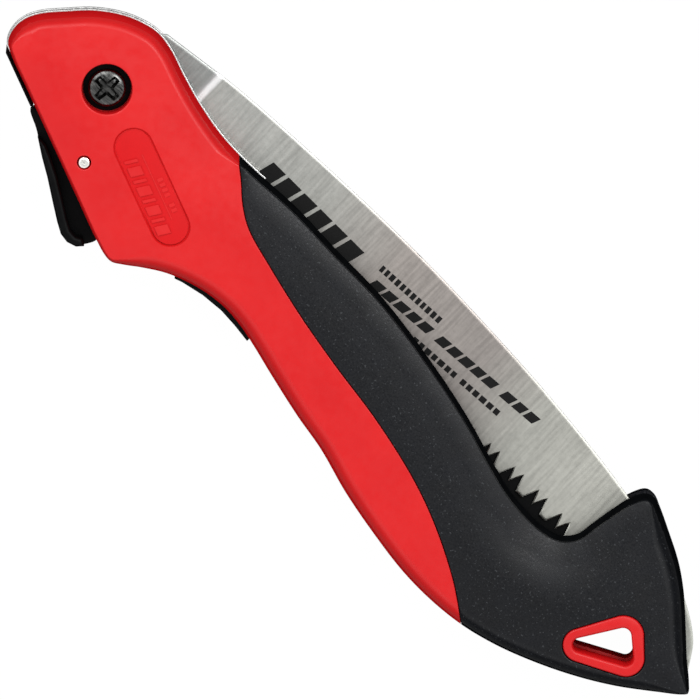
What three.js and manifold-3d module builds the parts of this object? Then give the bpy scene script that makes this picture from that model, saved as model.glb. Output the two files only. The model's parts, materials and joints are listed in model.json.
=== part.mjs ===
// A folding pruning saw, folded shut and lying on the back of its handle.
//
// Millimetres, +Z up. The shapes are drawn about the blade pivot, in the middle of the handle's
// thickness: +X runs along the folded blade to the tail, +Y points out of the blade slot and the
// lock lever is on the -Y side. The finished group is then moved so that the origin lies under
// the middle of the whole saw, on the surface that it lies on.
import * as THREE from "three";
import { mergeVertices } from "three/addons/utils/BufferGeometryUtils.js";
import Module from "manifold-3d";

const wasm = await Module();
wasm.setup();

// Layers across the thickness, as heights above the middle plane.
const BLADE_HALF = 0.6;
const WASHER_LOW = 0.7;
const WASHER_HIGH = 1.35;
const LINER_LOW = 1.5;
const LINER_HIGH = 2.3;
const SHELL_LOW = 2.4;
const CORE_HIGH = 7.8;
const SHELL_HIGH = 10.6;
const GRIP_HIGH = 11.0;
const LEVER_WEB_HALF = 1.25;
const LEVER_PAD_HALF = 7.0;
const THIN_SPACER_HALF = 1.35;
const STRAP_HALF = 3.6;
const GUARD_HIGH = -0.95;

// Edges and gaps.
const EDGE_ROUNDING = 4.5;
const CORE_ROUNDING = 2;
const GRIP_WALL = 3.0;
const PART_GAP = 0.25;
const LINER_RIM = 0.35;
const OUTLINE_STEPS = 2;
const TIGHT_SHARE = 0.7;
const TAPER_SLOPE = 0.45;
const TAPER_PASSES = 12;
const DEEPEST_INSET = 5;
const ROUND_STEPS = 28;

// Pivot: screw, barrel nut and washers.
const BARREL_RADIUS = 3.5;
const BARREL_BORE_RADIUS = 2.6;
const BARREL_FIT_RADIUS = 3.7;
const BLADE_WASHER_RADIUS = 8;
const SCREW_HEAD_RADIUS = 4.7;
const SCREW_RECESS_RADIUS = 6.3;
const SCREW_SHANK_RADIUS = 2.3;
const SCREW_HEAD_LOW = 6.1;
const SCREW_HEAD_HIGH = 9.2;
const PIVOT_WASHER_LOW = 5.5;
const PIVOT_WASHER_HIGH = 6.0;
const RECESS_FLOOR = 5.4;
const CROSS_LENGTH = 6.4;
const CROSS_WIDTH = 1.5;
const CROSS_DEPTH = 1.6;

// Lock: notches in the tang, lever nose and lever pin.
const TANG_RADIUS = 15.5;
const NOTCH_DEPTH = 2;
const NOTCH_MOUTH = 3.8;
const NOTCH_FLOOR = 3.0;
const CLOSED_NOTCH_ANGLE = 252;
const OPEN_ANGLE = 150;
const NOSE_RADIUS = 15.9;
const NOSE_BASE_RADIUS = 18.1;
const NOSE_TIP_WIDTH = 2.0;
const NOSE_BASE_WIDTH = 3.0;
const LEVER_PIN = [8.7, -17.35];
const LEVER_PIN_RADIUS = 1.5;
const LEVER_BORE_RADIUS = 1.7;
const LEVER_HUB_RADIUS = 3.2;

// The straight lever side of the head: how far it passes from the pivot, and which way it faces.
const LEVER_SIDE_DISTANCE = 18.7;
const LEVER_SIDE_ANGLE = 248.3;
const STRAP_INNER = 18.95;
const STRAP_OUTER = 19.65;
const STRAP_START = 2.9;
const STRAP_LENGTH = 16.2;

// Teeth: a narrow pointed tooth and a wide flat-topped one make a pair.
const FIRST_TOOTH_X = 39.6;
const TOOTH_PAIRS = 17;
const PAIR_PITCH = 8.4;
const NARROW_TOOTH = { width: 3.05, tip: 1.3, height: 3.8 };
const WIDE_TOOTH = { width: 5.35, flatStart: 1.4, flatEnd: 3.6, height: 4.2 };
const GULLET_TOP = [136, 0.7];
const GULLET_CURVE = 860;

// Hanging hole: a rounded triangle with a thick eyelet round it.
const HOLE_CORNERS = [[182.4, -19.6], [193.0, -14.1], [188.6, -10.5]];
const HOLE_RADII = [1.8, 1.9, 2.1];
const EYELET_RADII = [4.3, 4.7, 5.3];

// Shell screws, put in from the back.
const SHELL_SCREWS = [[36.5, -20.5], [100, -22], [165, -27.5]];
const SHELL_SCREW_RADIUS = 1.3;
const SHELL_SCREW_FIT = 1.55;
const SHELL_SCREW_HEAD_RADIUS = 2.8;
const SHELL_SCREW_RECESS = 3.2;
const SHELL_SCREW_TIP = 5.6;
const SHELL_SCREW_HEAD_LOW = 8.2;
const SHELL_SCREW_HEAD_HIGH = 9.9;

// Plain sunk panel on the head, a stadium parallel to the lever side.
const PANEL_CENTRE = [25.2, -10.1];
const PANEL_LENGTH = 32;
const PANEL_WIDTH = 10;
const PANEL_TILT = -21.7;
const PANEL_DEPTH = 0.5;

// Lever spring: a small coil between the spacer's finger and the lever.
const SPRING_START = [18.8, -17.8];
const SPRING_END = [16.75, -23.65];
const SPRING_COIL_RADIUS = 1.0;
const SPRING_WIRE_RADIUS = 0.25;
const SPRING_TURNS = 6;
const SPRING_STEPS = 72;
const SPRING_SIDES = 6;

// Outline of a handle half at the slot, clockwise from the red corner below the lever.
const HANDLE = [
  [29.0, -31.2], [24, -29.6], [12, -24.8], [-2, -19.2], [-14, -14.4], [-22.5, -11.0],
  [-25.4, -9.2], [-26.6, -6.0], [-26.4, -2.6], [-24.6, 1.2], [-20, 6.5], [-15.5, 11.1],
  [-10, 15.0], [-5, 17.2], [0, 18.2], [5, 17.5], [12, 15.0], [20, 12.5], [30, 10.5],
  [40, 10.0], [55, 10.4], [70, 9.6], [85, 9.0], [95, 7.7], [105, 5.9], [115, 3.8],
  [125, 1.2], [135, -2.0], [143, -4.2], [150, -5.1], [156, -5.0], [160.5, -3.6],
  [163.2, -0.6], [164.2, 4.5], [165.2, 10], [166.6, 15.5], [168.6, 18.8], [171, 19.4],
  [174, 18.2], [180, 15.2], [187, 11.4], [193, 7.0], [199, 1.4], [205, -4.4],
  [209.6, -8.4], [210.8, -9.9], [209.8, -11.6], [205, -15.6], [197, -21.4], [188, -26.6],
  [178, -31.2], [168, -34.8], [158, -37.1], [148, -37.9], [138, -37.5], [126, -35.6],
  [114, -33], [102, -29.4], [92, -27.4], [80, -24.4], [72, -22.2], [66, -20.8],
  [60, -20.2], [54, -20.7], [48, -22.2], [43, -24.2], [38, -27.2], [34, -29.9], [31.4, -31.3],
];

// Where the black grip meets the red shell, from the slot to the spine.
const GRIP_EDGE = [
  [33, 15], [34.6, 12], [36.8, 9.4], [40, 6.7], [45, 2.2], [50, -0.9], [60, -4], [75, -7.9],
  [90, -10.9], [105, -13.4], [120, -17.0], [130, -20.4], [140, -25], [150, -30.8],
  [158, -37], [163, -42],
];

// The blade's back, from the tang to the point.
const BLADE_BACK = [
  [2.2, 19.3], [12, 20.4], [25, 21.7], [45, 22.5], [70, 22.9], [90, 22.6], [110, 21.5],
  [130, 19.9], [150, 17.5], [165, 15.0], [180, 11.3], [193, 6.6], [203, 0.0], [207.3, -6.2],
];
const BLADE_TIP = [[207.8, -7.8], [206.9, -8.9], [205.2, -8.9]];
const BLADE_LAST_GULLET = [183.4, -4.6];
const TANG_FRONT_ANGLE = 300;
const TANG_BACK_ANGLE = 88.5;

// Upper edge of the spine spacer, from the finger under the spring to the tail.
const FINGER_TOP = [[17.2, -14.2], [21.5, -14.0], [38, -16.6], [46, -16.0]];
const FINGER_FOOT = [[46, -45], [30.5, -45], [30.5, -22.0], [21.0, -18.2], [17.0, -16.85]];
const SPINE_TOP = [
  [46, -16.0], [64, -15.0], [80, -17.0], [100, -18.6], [125, -23.0], [145, -25.4],
  [165, -24.6], [183, -23.6], [195, -18.8], [203, -14.2],
];
const GUARD_FOOT_GAP = 0.35;
const GUARD_MOUTH = [
  [176, 3], [164.2, 3], [163.4, 0.9], [157, 1.2], [150, 1.6], [143, 1.85], [136, 1.9], [124, 1.2],
  [115, 2.4], [105, 4.0], [85, 6.8], [70, 7.2], [50, 8],
];
const NECK_PAD = [
  [43, -24.6], [48, -23.1], [54, -21.9], [60, -21.5], [65, -21.9], [70, -22.6],
  [70, -19], [60, -17.5], [50, -19], [43, -22],
];

// Lock lever, from its upper end along the outside to the lower end and back to the hub.
const LEVER_OUTSIDE = [
  [-9.35, -16.6], [-9.55, -17.8], [-5, -20.4], [0, -23.7], [5, -26.8], [10, -30.2],
  [14.5, -33.2], [17.3, -34.8], [19.8, -35.2], [22.6, -34.3], [24.4, -32.2], [25.2, -30.2],
  [24.2, -28.2], [21.2, -26.9], [18.7, -24.7], [14.6, -23.2], [12.6, -21.0], [11.2, -18.4],
];
const LEVER_INSIDE = [[6.4, -16.0], [1.0, -17.1]];
const PAD = [
  [-3.8, -21.1], [0.5, -24.05], [5, -26.8], [10, -30.2], [14.5, -33.2], [17.3, -34.8], [19.8, -35.2],
  [22.2, -34.5], [23.6, -33.0], [22.0, -31.9], [20.4, -32.7], [18.4, -32.5], [15.6, -30.9],
  [11.4, -28.1], [6.4, -24.9], [2.0, -22.6],
  [-1.0, -21.2],
];

const CORNER_STEPS = 8;
const GRIP_EDGE_SLOPE = 0.7;
const GUARD_RANGE = [50, 170];
const LINER_REACH = 36;
const BARREL_BORE_FLOOR = 0.5;
const SCREW_SHANK_FOOT = -6;
const SHELL_SCREW_CHAMFER = 0.7;

// Lengths that reach past everything, for cutting.
const FAR = 260;
const DEEP = 20;

const radians = THREE.MathUtils.degToRad;
const toVector = ([x, y]) => new THREE.Vector2(x, y);

// ---------------------------------------------------------------- outlines

function polar(radius, degrees, centre = [0, 0]) {
  const angle = radians(degrees);
  return [centre[0] + radius * Math.cos(angle), centre[1] + radius * Math.sin(angle)];
}

function smooth(points, closed, steps) {
  const knots = points.map(([x, y]) => new THREE.Vector3(x, y, 0));
  const curve = new THREE.CatmullRomCurve3(knots, closed, "centripetal");
  const spans = closed ? points.length : points.length - 1;
  const samples = curve.getPoints(spans * steps).map((point) => [point.x, point.y]);
  return closed ? samples.slice(0, -1) : samples;
}

function counterClockwise(points) {
  const vectors = points.map(toVector);
  return THREE.ShapeUtils.isClockWise(vectors) ? vectors.reverse() : vectors;
}

function circle(centre, radius) {
  const points = [];
  for (let step = 0; step < ROUND_STEPS; step += 1) {
    points.push(polar(radius, (360 * step) / ROUND_STEPS, centre));
  }
  return points;
}

// Signed radius of the bend at each point of a counter-clockwise outline: positive where it
// bulges out.
function bendRadius(before, point, after) {
  const ab = point.clone().sub(before);
  const bc = after.clone().sub(point);
  const turn = ab.angleTo(bc) * Math.sign(ab.cross(bc));
  return (ab.length() + bc.length()) / (2 * (Math.abs(turn) < 1e-4 ? 1e-4 : turn));
}

// How much of an inset each point can take: all of it on gentle stretches, less near tight bends.
function insetShares(outline) {
  const count = outline.length;
  const at = (index) => outline[(index + count) % count];
  let reach = outline.map((point, index) => {
    const bends = [1, 2].map((step) => bendRadius(at(index - step), point, at(index + step)));
    const room = bends.filter((bend) => bend > 0).map((bend) => TIGHT_SHARE * bend);
    return Math.min(DEEPEST_INSET, ...room);
  });
  for (let pass = 0; pass < TAPER_PASSES; pass += 1) {
    const last = reach;
    reach = last.map((value, index) => {
      const step = TAPER_SLOPE * at(index).distanceTo(at(index + 1));
      const neighbours = [last[(index + count - 1) % count], last[(index + 1) % count]];
      return Math.min(value, ...neighbours.map((neighbour) => neighbour + step));
    });
  }
  return reach.map((value) => value / DEEPEST_INSET);
}

// Moves an outline inwards, or outwards where the distance is negative.
function inset(outline, distance) {
  const count = outline.length;
  const shares = insetShares(outline);
  return outline.map((point, index) => {
    const after = outline[(index + 1) % count];
    const before = outline[(index + count - 1) % count];
    const along = after.clone().sub(before).normalize();
    const reach = distance > 0 ? distance * shares[index] : distance;
    return new THREE.Vector2(point.x - along.y * reach, point.y + along.x * reach);
  });
}

// Three circles wrapped by one outline.
function roundedTriangle(corners, radii) {
  const points = [];
  corners.forEach((corner, index) => {
    const before = corners[(index + 2) % 3];
    const after = corners[(index + 1) % 3];
    const from = Math.atan2(corner[1] - before[1], corner[0] - before[0]) - Math.PI / 2;
    const to = Math.atan2(after[1] - corner[1], after[0] - corner[0]) - Math.PI / 2;
    const sweep = THREE.MathUtils.euclideanModulo(to - from, 2 * Math.PI);
    for (let step = 0; step <= CORNER_STEPS; step += 1) {
      const degrees = THREE.MathUtils.radToDeg(from + (sweep * step) / CORNER_STEPS);
      points.push(polar(radii[index], degrees, corner));
    }
  });
  return points;
}

// ---------------------------------------------------------------- solids

function solidFrom(geometry) {
  const bare = geometry.index ? geometry.toNonIndexed() : geometry.clone();
  bare.deleteAttribute("normal");
  bare.deleteAttribute("uv");
  const merged = mergeVertices(bare, 1e-5);
  const vertProperties = new Float32Array(merged.attributes.position.array);
  const triVerts = new Uint32Array(merged.index.array);
  return new wasm.Manifold(new wasm.Mesh({ numProp: 3, vertProperties, triVerts }));
}

function geometryFrom(solid) {
  const { vertProperties, triVerts } = solid.getMesh();
  const geometry = new THREE.BufferGeometry();
  geometry.setAttribute("position", new THREE.BufferAttribute(vertProperties, 3));
  geometry.setIndex(new THREE.BufferAttribute(triVerts, 1));
  geometry.computeVertexNormals();
  return geometry;
}

function plate(points, low, high) {
  const shape = new THREE.Shape(points.map((point) => (point.isVector2 ? point : toVector(point))));
  const geometry = new THREE.ExtrudeGeometry(shape, { depth: high - low, bevelEnabled: false });
  return solidFrom(geometry.translate(0, 0, low));
}

function disc(centre, radius, low, high) {
  return plate(circle(centre, radius), low, high);
}

// A turned piece standing on the pivot axis.
function turned(profile, centre = [0, 0]) {
  const outline = profile.map(([radius, height]) => new THREE.Vector2(radius, height));
  const geometry = new THREE.LatheGeometry(outline, ROUND_STEPS);
  geometry.rotateX(Math.PI / 2).translate(centre[0], centre[1], 0);
  return solidFrom(geometry);
}

// A body whose wall stands straight at the slot, some way in from the outline, and rolls over to
// a flat face like a quarter of an ellipse.
function rolledBody(outline, wallInset, rounding, low, high) {
  const rollAngles = [0, 28, 58, 90];
  const layers = rollAngles.map((degrees) => {
    const angle = radians(degrees);
    const ring = inset(outline, wallInset + rounding * (1 - Math.cos(angle)));
    const height = low + (high - low) * Math.sin(angle);
    return ring.map((point) => [point.x, point.y, height]);
  });
  const count = outline.length;
  const positions = layers.flat(2);
  const faces = [];
  for (let layer = 0; layer + 1 < layers.length; layer += 1) {
    for (let index = 0; index < count; index += 1) {
      const next = (index + 1) % count;
      const [a, b] = [layer * count + index, layer * count + next];
      faces.push(a, b, b + count, a, b + count, a + count);
    }
  }
  const capFaces = (ring) => {
    const contour = ring.map(([x, y]) => new THREE.Vector2(x, y));
    return THREE.ShapeUtils.triangulateShape(contour, []);
  };
  capFaces(layers[0]).forEach(([a, b, c]) => faces.push(c, b, a));
  const top = (layers.length - 1) * count;
  capFaces(layers.at(-1)).forEach(([a, b, c]) => faces.push(top + a, top + b, top + c));
  const geometry = new THREE.BufferGeometry();
  geometry.setAttribute("position", new THREE.Float32BufferAttribute(positions, 3));
  geometry.setIndex(faces);
  return solidFrom(geometry);
}

// ---------------------------------------------------------------- handle

const handleOutline = counterClockwise(smooth(HANDLE, true, OUTLINE_STEPS));
const gripEdge = smooth(GRIP_EDGE, false, OUTLINE_STEPS);

// Everything on the tail side of the line where grip and shell meet, moved along the handle.
function gripRegion(shift) {
  const edge = gripEdge.map(([x, y]) => [x + shift, y + shift * GRIP_EDGE_SLOPE]);
  return plate([...edge, [FAR, -60], [FAR, 40], [33 + shift, 40]].reverse(), 0, DEEP);
}

function panelRegion() {
  const half = (PANEL_LENGTH - PANEL_WIDTH) / 2;
  const points = [];
  for (let step = 0; step <= ROUND_STEPS / 2; step += 1) {
    const angle = (180 * step) / (ROUND_STEPS / 2);
    points.push(polar(PANEL_WIDTH / 2, PANEL_TILT - 90 + angle, polar(half, PANEL_TILT, PANEL_CENTRE)));
  }
  for (let step = 0; step <= ROUND_STEPS / 2; step += 1) {
    const angle = (180 * step) / (ROUND_STEPS / 2);
    points.push(polar(PANEL_WIDTH / 2, PANEL_TILT + 90 + angle, polar(-half, PANEL_TILT, PANEL_CENTRE)));
  }
  return plate(points, SHELL_HIGH - PANEL_DEPTH, DEEP);
}

function eyeletRegion(extra) {
  const radii = EYELET_RADII.map((radius) => radius + extra);
  return plate(roundedTriangle(HOLE_CORNERS, radii), 0, GRIP_HIGH);
}

function hangingHole() {
  return plate(roundedTriangle(HOLE_CORNERS, HOLE_RADII), -DEEP, DEEP);
}

// The hard shell: red body at the head and along the spine, a thinner core under the grip and
// an eyelet that comes up through it.
function shellHalf() {
  const body = rolledBody(handleOutline, 0, EDGE_ROUNDING, SHELL_LOW, SHELL_HIGH);
  const core = rolledBody(handleOutline, GRIP_WALL, CORE_ROUNDING, SHELL_LOW, CORE_HIGH);
  const eyelet = eyeletRegion(0).subtract(plate(outerBox(), -1, SHELL_LOW));
  return body
    .subtract(gripRegion(-PART_GAP))
    .add(core)
    .add(eyelet)
    .subtract(hangingHole())
    .subtract(disc([0, 0], BARREL_FIT_RADIUS + 0.1, 0, DEEP))
    .subtract(disc([0, 0], SCREW_RECESS_RADIUS, RECESS_FLOOR, DEEP))
    .subtract(disc(LEVER_PIN, LEVER_BORE_RADIUS, 0, DEEP));
}

function outerBox() {
  return [[-60, -60], [FAR, -60], [FAR, 60], [-60, 60]];
}

// The rubber grip: a rolled body hollowed to fit over the core, with room for the eyelet.
function gripHalf() {
  const wall = GRIP_WALL - PART_GAP;
  return rolledBody(handleOutline, 0, EDGE_ROUNDING, SHELL_LOW, GRIP_HIGH)
    .intersect(gripRegion(0))
    .subtract(rolledBody(handleOutline, wall, CORE_ROUNDING, SHELL_LOW - 1, CORE_HIGH + PART_GAP))
    .subtract(eyeletRegion(PART_GAP).add(eyeletRegion(PART_GAP).translate(0, 0, 2)));
}

function mirrored(solid) {
  return solid.mirror([0, 0, 1]);
}

function shellFront() {
  const bores = SHELL_SCREWS.map((spot) => disc(spot, SHELL_SCREW_FIT, 0, SHELL_SCREW_TIP + 0.6));
  return bores.reduce((shell, bore) => shell.subtract(bore), shellHalf().subtract(panelRegion()));
}

function screwRoom(spot) {
  const bore = disc(spot, SHELL_SCREW_FIT, -DEEP, 0);
  return bore.add(disc(spot, SHELL_SCREW_RECESS, -DEEP, 0.1 - SHELL_SCREW_HEAD_LOW));
}

function shellBack() {
  const shell = mirrored(shellHalf());
  return SHELL_SCREWS.reduce((left, spot) => left.subtract(screwRoom(spot)), shell);
}

function gripBack() {
  const grip = mirrored(gripHalf());
  const rooms = SHELL_SCREWS.map((spot) => disc(spot, SHELL_SCREW_RECESS, -DEEP, 0));
  return rooms.reduce((left, room) => left.subtract(room), grip);
}

function liner() {
  const side = LEVER_SIDE_ANGLE;
  const edge = LEVER_SIDE_DISTANCE - PART_GAP;
  const leverSide = (along) => {
    const foot = polar(edge, side);
    return polar(along, side + 90, foot);
  };
  const region = plate(
    [
      [-40, 40], leverSide(-LINER_REACH), leverSide(LINER_REACH),
      [29.4, -30.6], [33, -28.4], [45, -21.6], [45, 40],
    ],
    0, DEEP,
  );
  const bores = [[[0, 0], BARREL_FIT_RADIUS], [LEVER_PIN, LEVER_BORE_RADIUS]];
  const solid = plate(inset(handleOutline, -LINER_RIM), LINER_LOW, LINER_HIGH)
    .intersect(region)
    .subtract(disc(SHELL_SCREWS[0], SHELL_SCREW_FIT, 0, DEEP));
  return bores.reduce((left, [spot, radius]) => left.subtract(disc(spot, radius, 0, DEEP)), solid);
}

// The black filler that closes the slot along the spine. Its front end is thin, to fit between
// the liners, and carries the finger that the lever spring stands on.
function spineSpacer() {
  const flush = inset(handleOutline, PART_GAP);
  const thin = plate(flush, -THIN_SPACER_HALF, THIN_SPACER_HALF)
    .intersect(plate([...FINGER_TOP, ...FINGER_FOOT].reverse(), -DEEP, DEEP));
  const spineFoot = [[203, -45], [46, -45]];
  const thick = plate(flush, -LINER_HIGH, LINER_HIGH)
    .intersect(plate([...SPINE_TOP, ...spineFoot].reverse(), -DEEP, DEEP))
    .add(plate([...NECK_PAD], -LINER_HIGH, LINER_HIGH).intersect(pastLiners()));
  const joined = thin.add(thick);
  const bores = SHELL_SCREWS.map((spot) => disc(spot, SHELL_SCREW_FIT, -DEEP, DEEP));
  return bores.reduce((left, bore) => left.subtract(bore), joined);
}

// A thin plate on the back half of the slot, beside the blade, that shields the teeth.
function bladeGuard() {
  const [start, end] = GUARD_RANGE;
  const foot = SPINE_TOP
    .filter(([x]) => x > start && x < end)
    .map(([x, y]) => [x, y + GUARD_FOOT_GAP]);
  const outline = [[start, -15], ...foot, [176, -23.5], ...GUARD_MOUTH];
  return plate(outline, -LINER_HIGH, GUARD_HIGH);
}

function pastLiners() {
  return plate([[46, -60], [FAR, -60], [FAR, 60], [46, 60]], -DEEP, DEEP);
}

// A thin strap that lies over the slot at the lever side of the head: the open blade rests on it.
function headStrap() {
  const corner = (distance, along) => polar(along, LEVER_SIDE_ANGLE - 90, polar(distance, LEVER_SIDE_ANGLE));
  const points = [
    corner(STRAP_INNER, STRAP_START),
    corner(STRAP_OUTER, STRAP_START),
    corner(STRAP_OUTER, STRAP_START + STRAP_LENGTH - 1),
    corner(STRAP_INNER, STRAP_START + STRAP_LENGTH),
  ];
  return plate(counterClockwise(points), -STRAP_HALF, STRAP_HALF);
}

// ---------------------------------------------------------------- blade

function gulletHeight(x) {
  return GULLET_TOP[1] - (x - GULLET_TOP[0]) ** 2 / GULLET_CURVE;
}

function toothPair(startX) {
  const wideX = startX + NARROW_TOOTH.width;
  const point = (x, depth) => [x, gulletHeight(x) - depth];
  return [
    point(startX, 0),
    point(startX + NARROW_TOOTH.tip, NARROW_TOOTH.height),
    point(wideX, 0),
    point(wideX + WIDE_TOOTH.flatStart, WIDE_TOOTH.height),
    point(wideX + WIDE_TOOTH.flatEnd, WIDE_TOOTH.height),
  ];
}

function notch(degrees) {
  const offset = (width, radius) => THREE.MathUtils.radToDeg(width / 2 / radius);
  const mouth = offset(NOTCH_MOUTH, TANG_RADIUS);
  const floorRadius = TANG_RADIUS - NOTCH_DEPTH;
  const floor = offset(NOTCH_FLOOR, floorRadius);
  return [
    polar(TANG_RADIUS, degrees - mouth),
    polar(floorRadius, degrees - floor),
    polar(floorRadius, degrees + floor),
    polar(TANG_RADIUS, degrees + mouth),
  ];
}

function tangArc(from, to) {
  const steps = Math.max(2, Math.round((to - from) / 8));
  const points = [];
  for (let step = 0; step <= steps; step += 1) {
    points.push(polar(TANG_RADIUS, from + ((to - from) * step) / steps));
  }
  return points;
}

function blade() {
  const openNotch = CLOSED_NOTCH_ANGLE - OPEN_ANGLE;
  const notchHalf = THREE.MathUtils.radToDeg(NOTCH_MOUTH / 2 / TANG_RADIUS) + 1;
  const outline = [
    ...tangArc(TANG_BACK_ANGLE, openNotch - notchHalf),
    ...notch(openNotch),
    ...tangArc(openNotch + notchHalf, CLOSED_NOTCH_ANGLE - notchHalf),
    ...notch(CLOSED_NOTCH_ANGLE),
    ...tangArc(CLOSED_NOTCH_ANGLE + notchHalf, TANG_FRONT_ANGLE),
  ];
  for (let pair = 0; pair < TOOTH_PAIRS; pair += 1) {
    outline.push(...toothPair(FIRST_TOOTH_X + pair * PAIR_PITCH));
  }
  outline.push(BLADE_LAST_GULLET, ...[...BLADE_TIP].reverse());
  outline.push(...smooth(BLADE_BACK, false, OUTLINE_STEPS).reverse());
  outline.push([1.0, 18.2], [0.6, 16.8]);
  return plate(outline, -BLADE_HALF, BLADE_HALF)
    .subtract(disc([0, 0], BARREL_FIT_RADIUS, -DEEP, DEEP));
}

function bladeWasher(low, high) {
  return disc([0, 0], BLADE_WASHER_RADIUS, low, high)
    .subtract(disc([0, 0], BARREL_FIT_RADIUS, -DEEP, DEEP));
}

// ---------------------------------------------------------------- pivot

function pivotBarrel() {
  const flangeTop = -PIVOT_WASHER_LOW;
  const flangeFoot = -(SCREW_HEAD_HIGH - 0.6);
  const boreFloor = flangeTop - BARREL_BORE_FLOOR;
  return turned([
    [0, flangeFoot], [SCREW_HEAD_RADIUS - 0.8, flangeFoot], [SCREW_HEAD_RADIUS, flangeFoot + 0.8],
    [SCREW_HEAD_RADIUS, flangeTop], [BARREL_RADIUS, flangeTop], [BARREL_RADIUS, RECESS_FLOOR],
    [BARREL_BORE_RADIUS, RECESS_FLOOR], [BARREL_BORE_RADIUS, boreFloor], [0, boreFloor],
  ]);
}

function pivotWasher() {
  return disc([0, 0], SCREW_RECESS_RADIUS - 0.3, PIVOT_WASHER_LOW, PIVOT_WASHER_HIGH)
    .subtract(disc([0, 0], BARREL_BORE_RADIUS, 0, DEEP));
}

function pivotScrew() {
  const head = turned([
    [0, SCREW_SHANK_FOOT], [SCREW_SHANK_RADIUS, SCREW_SHANK_FOOT], [SCREW_SHANK_RADIUS, SCREW_HEAD_LOW],
    [SCREW_HEAD_RADIUS, SCREW_HEAD_LOW], [SCREW_HEAD_RADIUS, SCREW_HEAD_HIGH - 1.3],
    [SCREW_HEAD_RADIUS - 0.5, SCREW_HEAD_HIGH - 0.5], [SCREW_HEAD_RADIUS - 1.6, SCREW_HEAD_HIGH],
    [0, SCREW_HEAD_HIGH],
  ]);
  const arm = new THREE.BoxGeometry(CROSS_LENGTH, CROSS_WIDTH, CROSS_DEPTH * 2);
  arm.translate(0, 0, SCREW_HEAD_HIGH);
  const crossed = arm.clone().rotateZ(Math.PI / 2);
  return head.subtract(solidFrom(arm)).subtract(solidFrom(crossed));
}

// ---------------------------------------------------------------- lock

function lockLever() {
  const nosePoint = (radius, offset) => {
    const degrees = CLOSED_NOTCH_ANGLE + THREE.MathUtils.radToDeg(offset / radius);
    return polar(radius, degrees);
  };
  const nose = [
    nosePoint(NOSE_BASE_RADIUS, NOSE_BASE_WIDTH / 2),
    nosePoint(NOSE_RADIUS, NOSE_TIP_WIDTH / 2),
    nosePoint(NOSE_RADIUS, -NOSE_TIP_WIDTH / 2),
    nosePoint(NOSE_BASE_RADIUS, -NOSE_BASE_WIDTH / 2),
  ];
  const webOutline = counterClockwise([...LEVER_OUTSIDE, ...LEVER_INSIDE, ...nose]);
  return plate(webOutline, -LEVER_WEB_HALF, LEVER_WEB_HALF)
    .add(disc(LEVER_PIN, LEVER_HUB_RADIUS, -LEVER_WEB_HALF, LEVER_WEB_HALF))
    .add(plate(counterClockwise(PAD), -LEVER_PAD_HALF, LEVER_PAD_HALF))
    .subtract(disc(LEVER_PIN, LEVER_BORE_RADIUS, -DEEP, DEEP));
}

function leverPin() {
  const end = SHELL_HIGH - 0.2;
  const chamfer = 0.4;
  return turned([
    [0, -end], [LEVER_PIN_RADIUS - chamfer, -end], [LEVER_PIN_RADIUS, chamfer - end],
    [LEVER_PIN_RADIUS, end - chamfer], [LEVER_PIN_RADIUS - chamfer, end], [0, end],
  ], LEVER_PIN);
}

class Coil extends THREE.Curve {
  getPoint(t) {
    const start = new THREE.Vector3(...SPRING_START, 0);
    const axis = new THREE.Vector3(...SPRING_END, 0).sub(start);
    const run = axis.length() - 2 * SPRING_WIRE_RADIUS;
    axis.normalize();
    const side = new THREE.Vector3(-axis.y, axis.x, 0);
    const angle = 2 * Math.PI * SPRING_TURNS * t;
    return start
      .addScaledVector(axis, SPRING_WIRE_RADIUS + run * t)
      .addScaledVector(side, SPRING_COIL_RADIUS * Math.cos(angle))
      .add(new THREE.Vector3(0, 0, SPRING_COIL_RADIUS * Math.sin(angle)));
  }
}

function leverSpring() {
  const wire = [];
  for (let side = 0; side < SPRING_SIDES; side += 1) {
    wire.push(toVector(polar(SPRING_WIRE_RADIUS, (360 * side) / SPRING_SIDES)));
  }
  const options = { steps: SPRING_STEPS, extrudePath: new Coil(), bevelEnabled: false };
  return solidFrom(new THREE.ExtrudeGeometry(new THREE.Shape(wire), options));
}

// ---------------------------------------------------------------- shell screws

function shellScrew(spot) {
  return turned([
    [0, -SHELL_SCREW_HEAD_HIGH],
    [SHELL_SCREW_HEAD_RADIUS - SHELL_SCREW_CHAMFER, -SHELL_SCREW_HEAD_HIGH],
    [SHELL_SCREW_HEAD_RADIUS, SHELL_SCREW_CHAMFER - SHELL_SCREW_HEAD_HIGH],
    [SHELL_SCREW_HEAD_RADIUS, -SHELL_SCREW_HEAD_LOW],
    [SHELL_SCREW_RADIUS, -SHELL_SCREW_HEAD_LOW], [SHELL_SCREW_RADIUS, SHELL_SCREW_TIP],
    [0, SHELL_SCREW_TIP],
  ], spot);
}

// ---------------------------------------------------------------- assembly

function material(color, roughness, metalness) {
  return () => new THREE.MeshStandardMaterial({ color, roughness, metalness });
}

const redPlastic = material(0xe0262c, 0.35, 0);
const blackRubber = material(0x222529, 0.7, 0);
const blackPlastic = material(0x17181a, 0.45, 0);
const bladeSteel = material(0xb9bcbe, 0.3, 1);
const brightSteel = material(0xc9cbcd, 0.25, 1);
const blackSteel = material(0x141517, 0.4, 0.6);

function piece(name, solid, makeMaterial) {
  const mesh = new THREE.Mesh(geometryFrom(solid), makeMaterial());
  mesh.name = name;
  return mesh;
}

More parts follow.
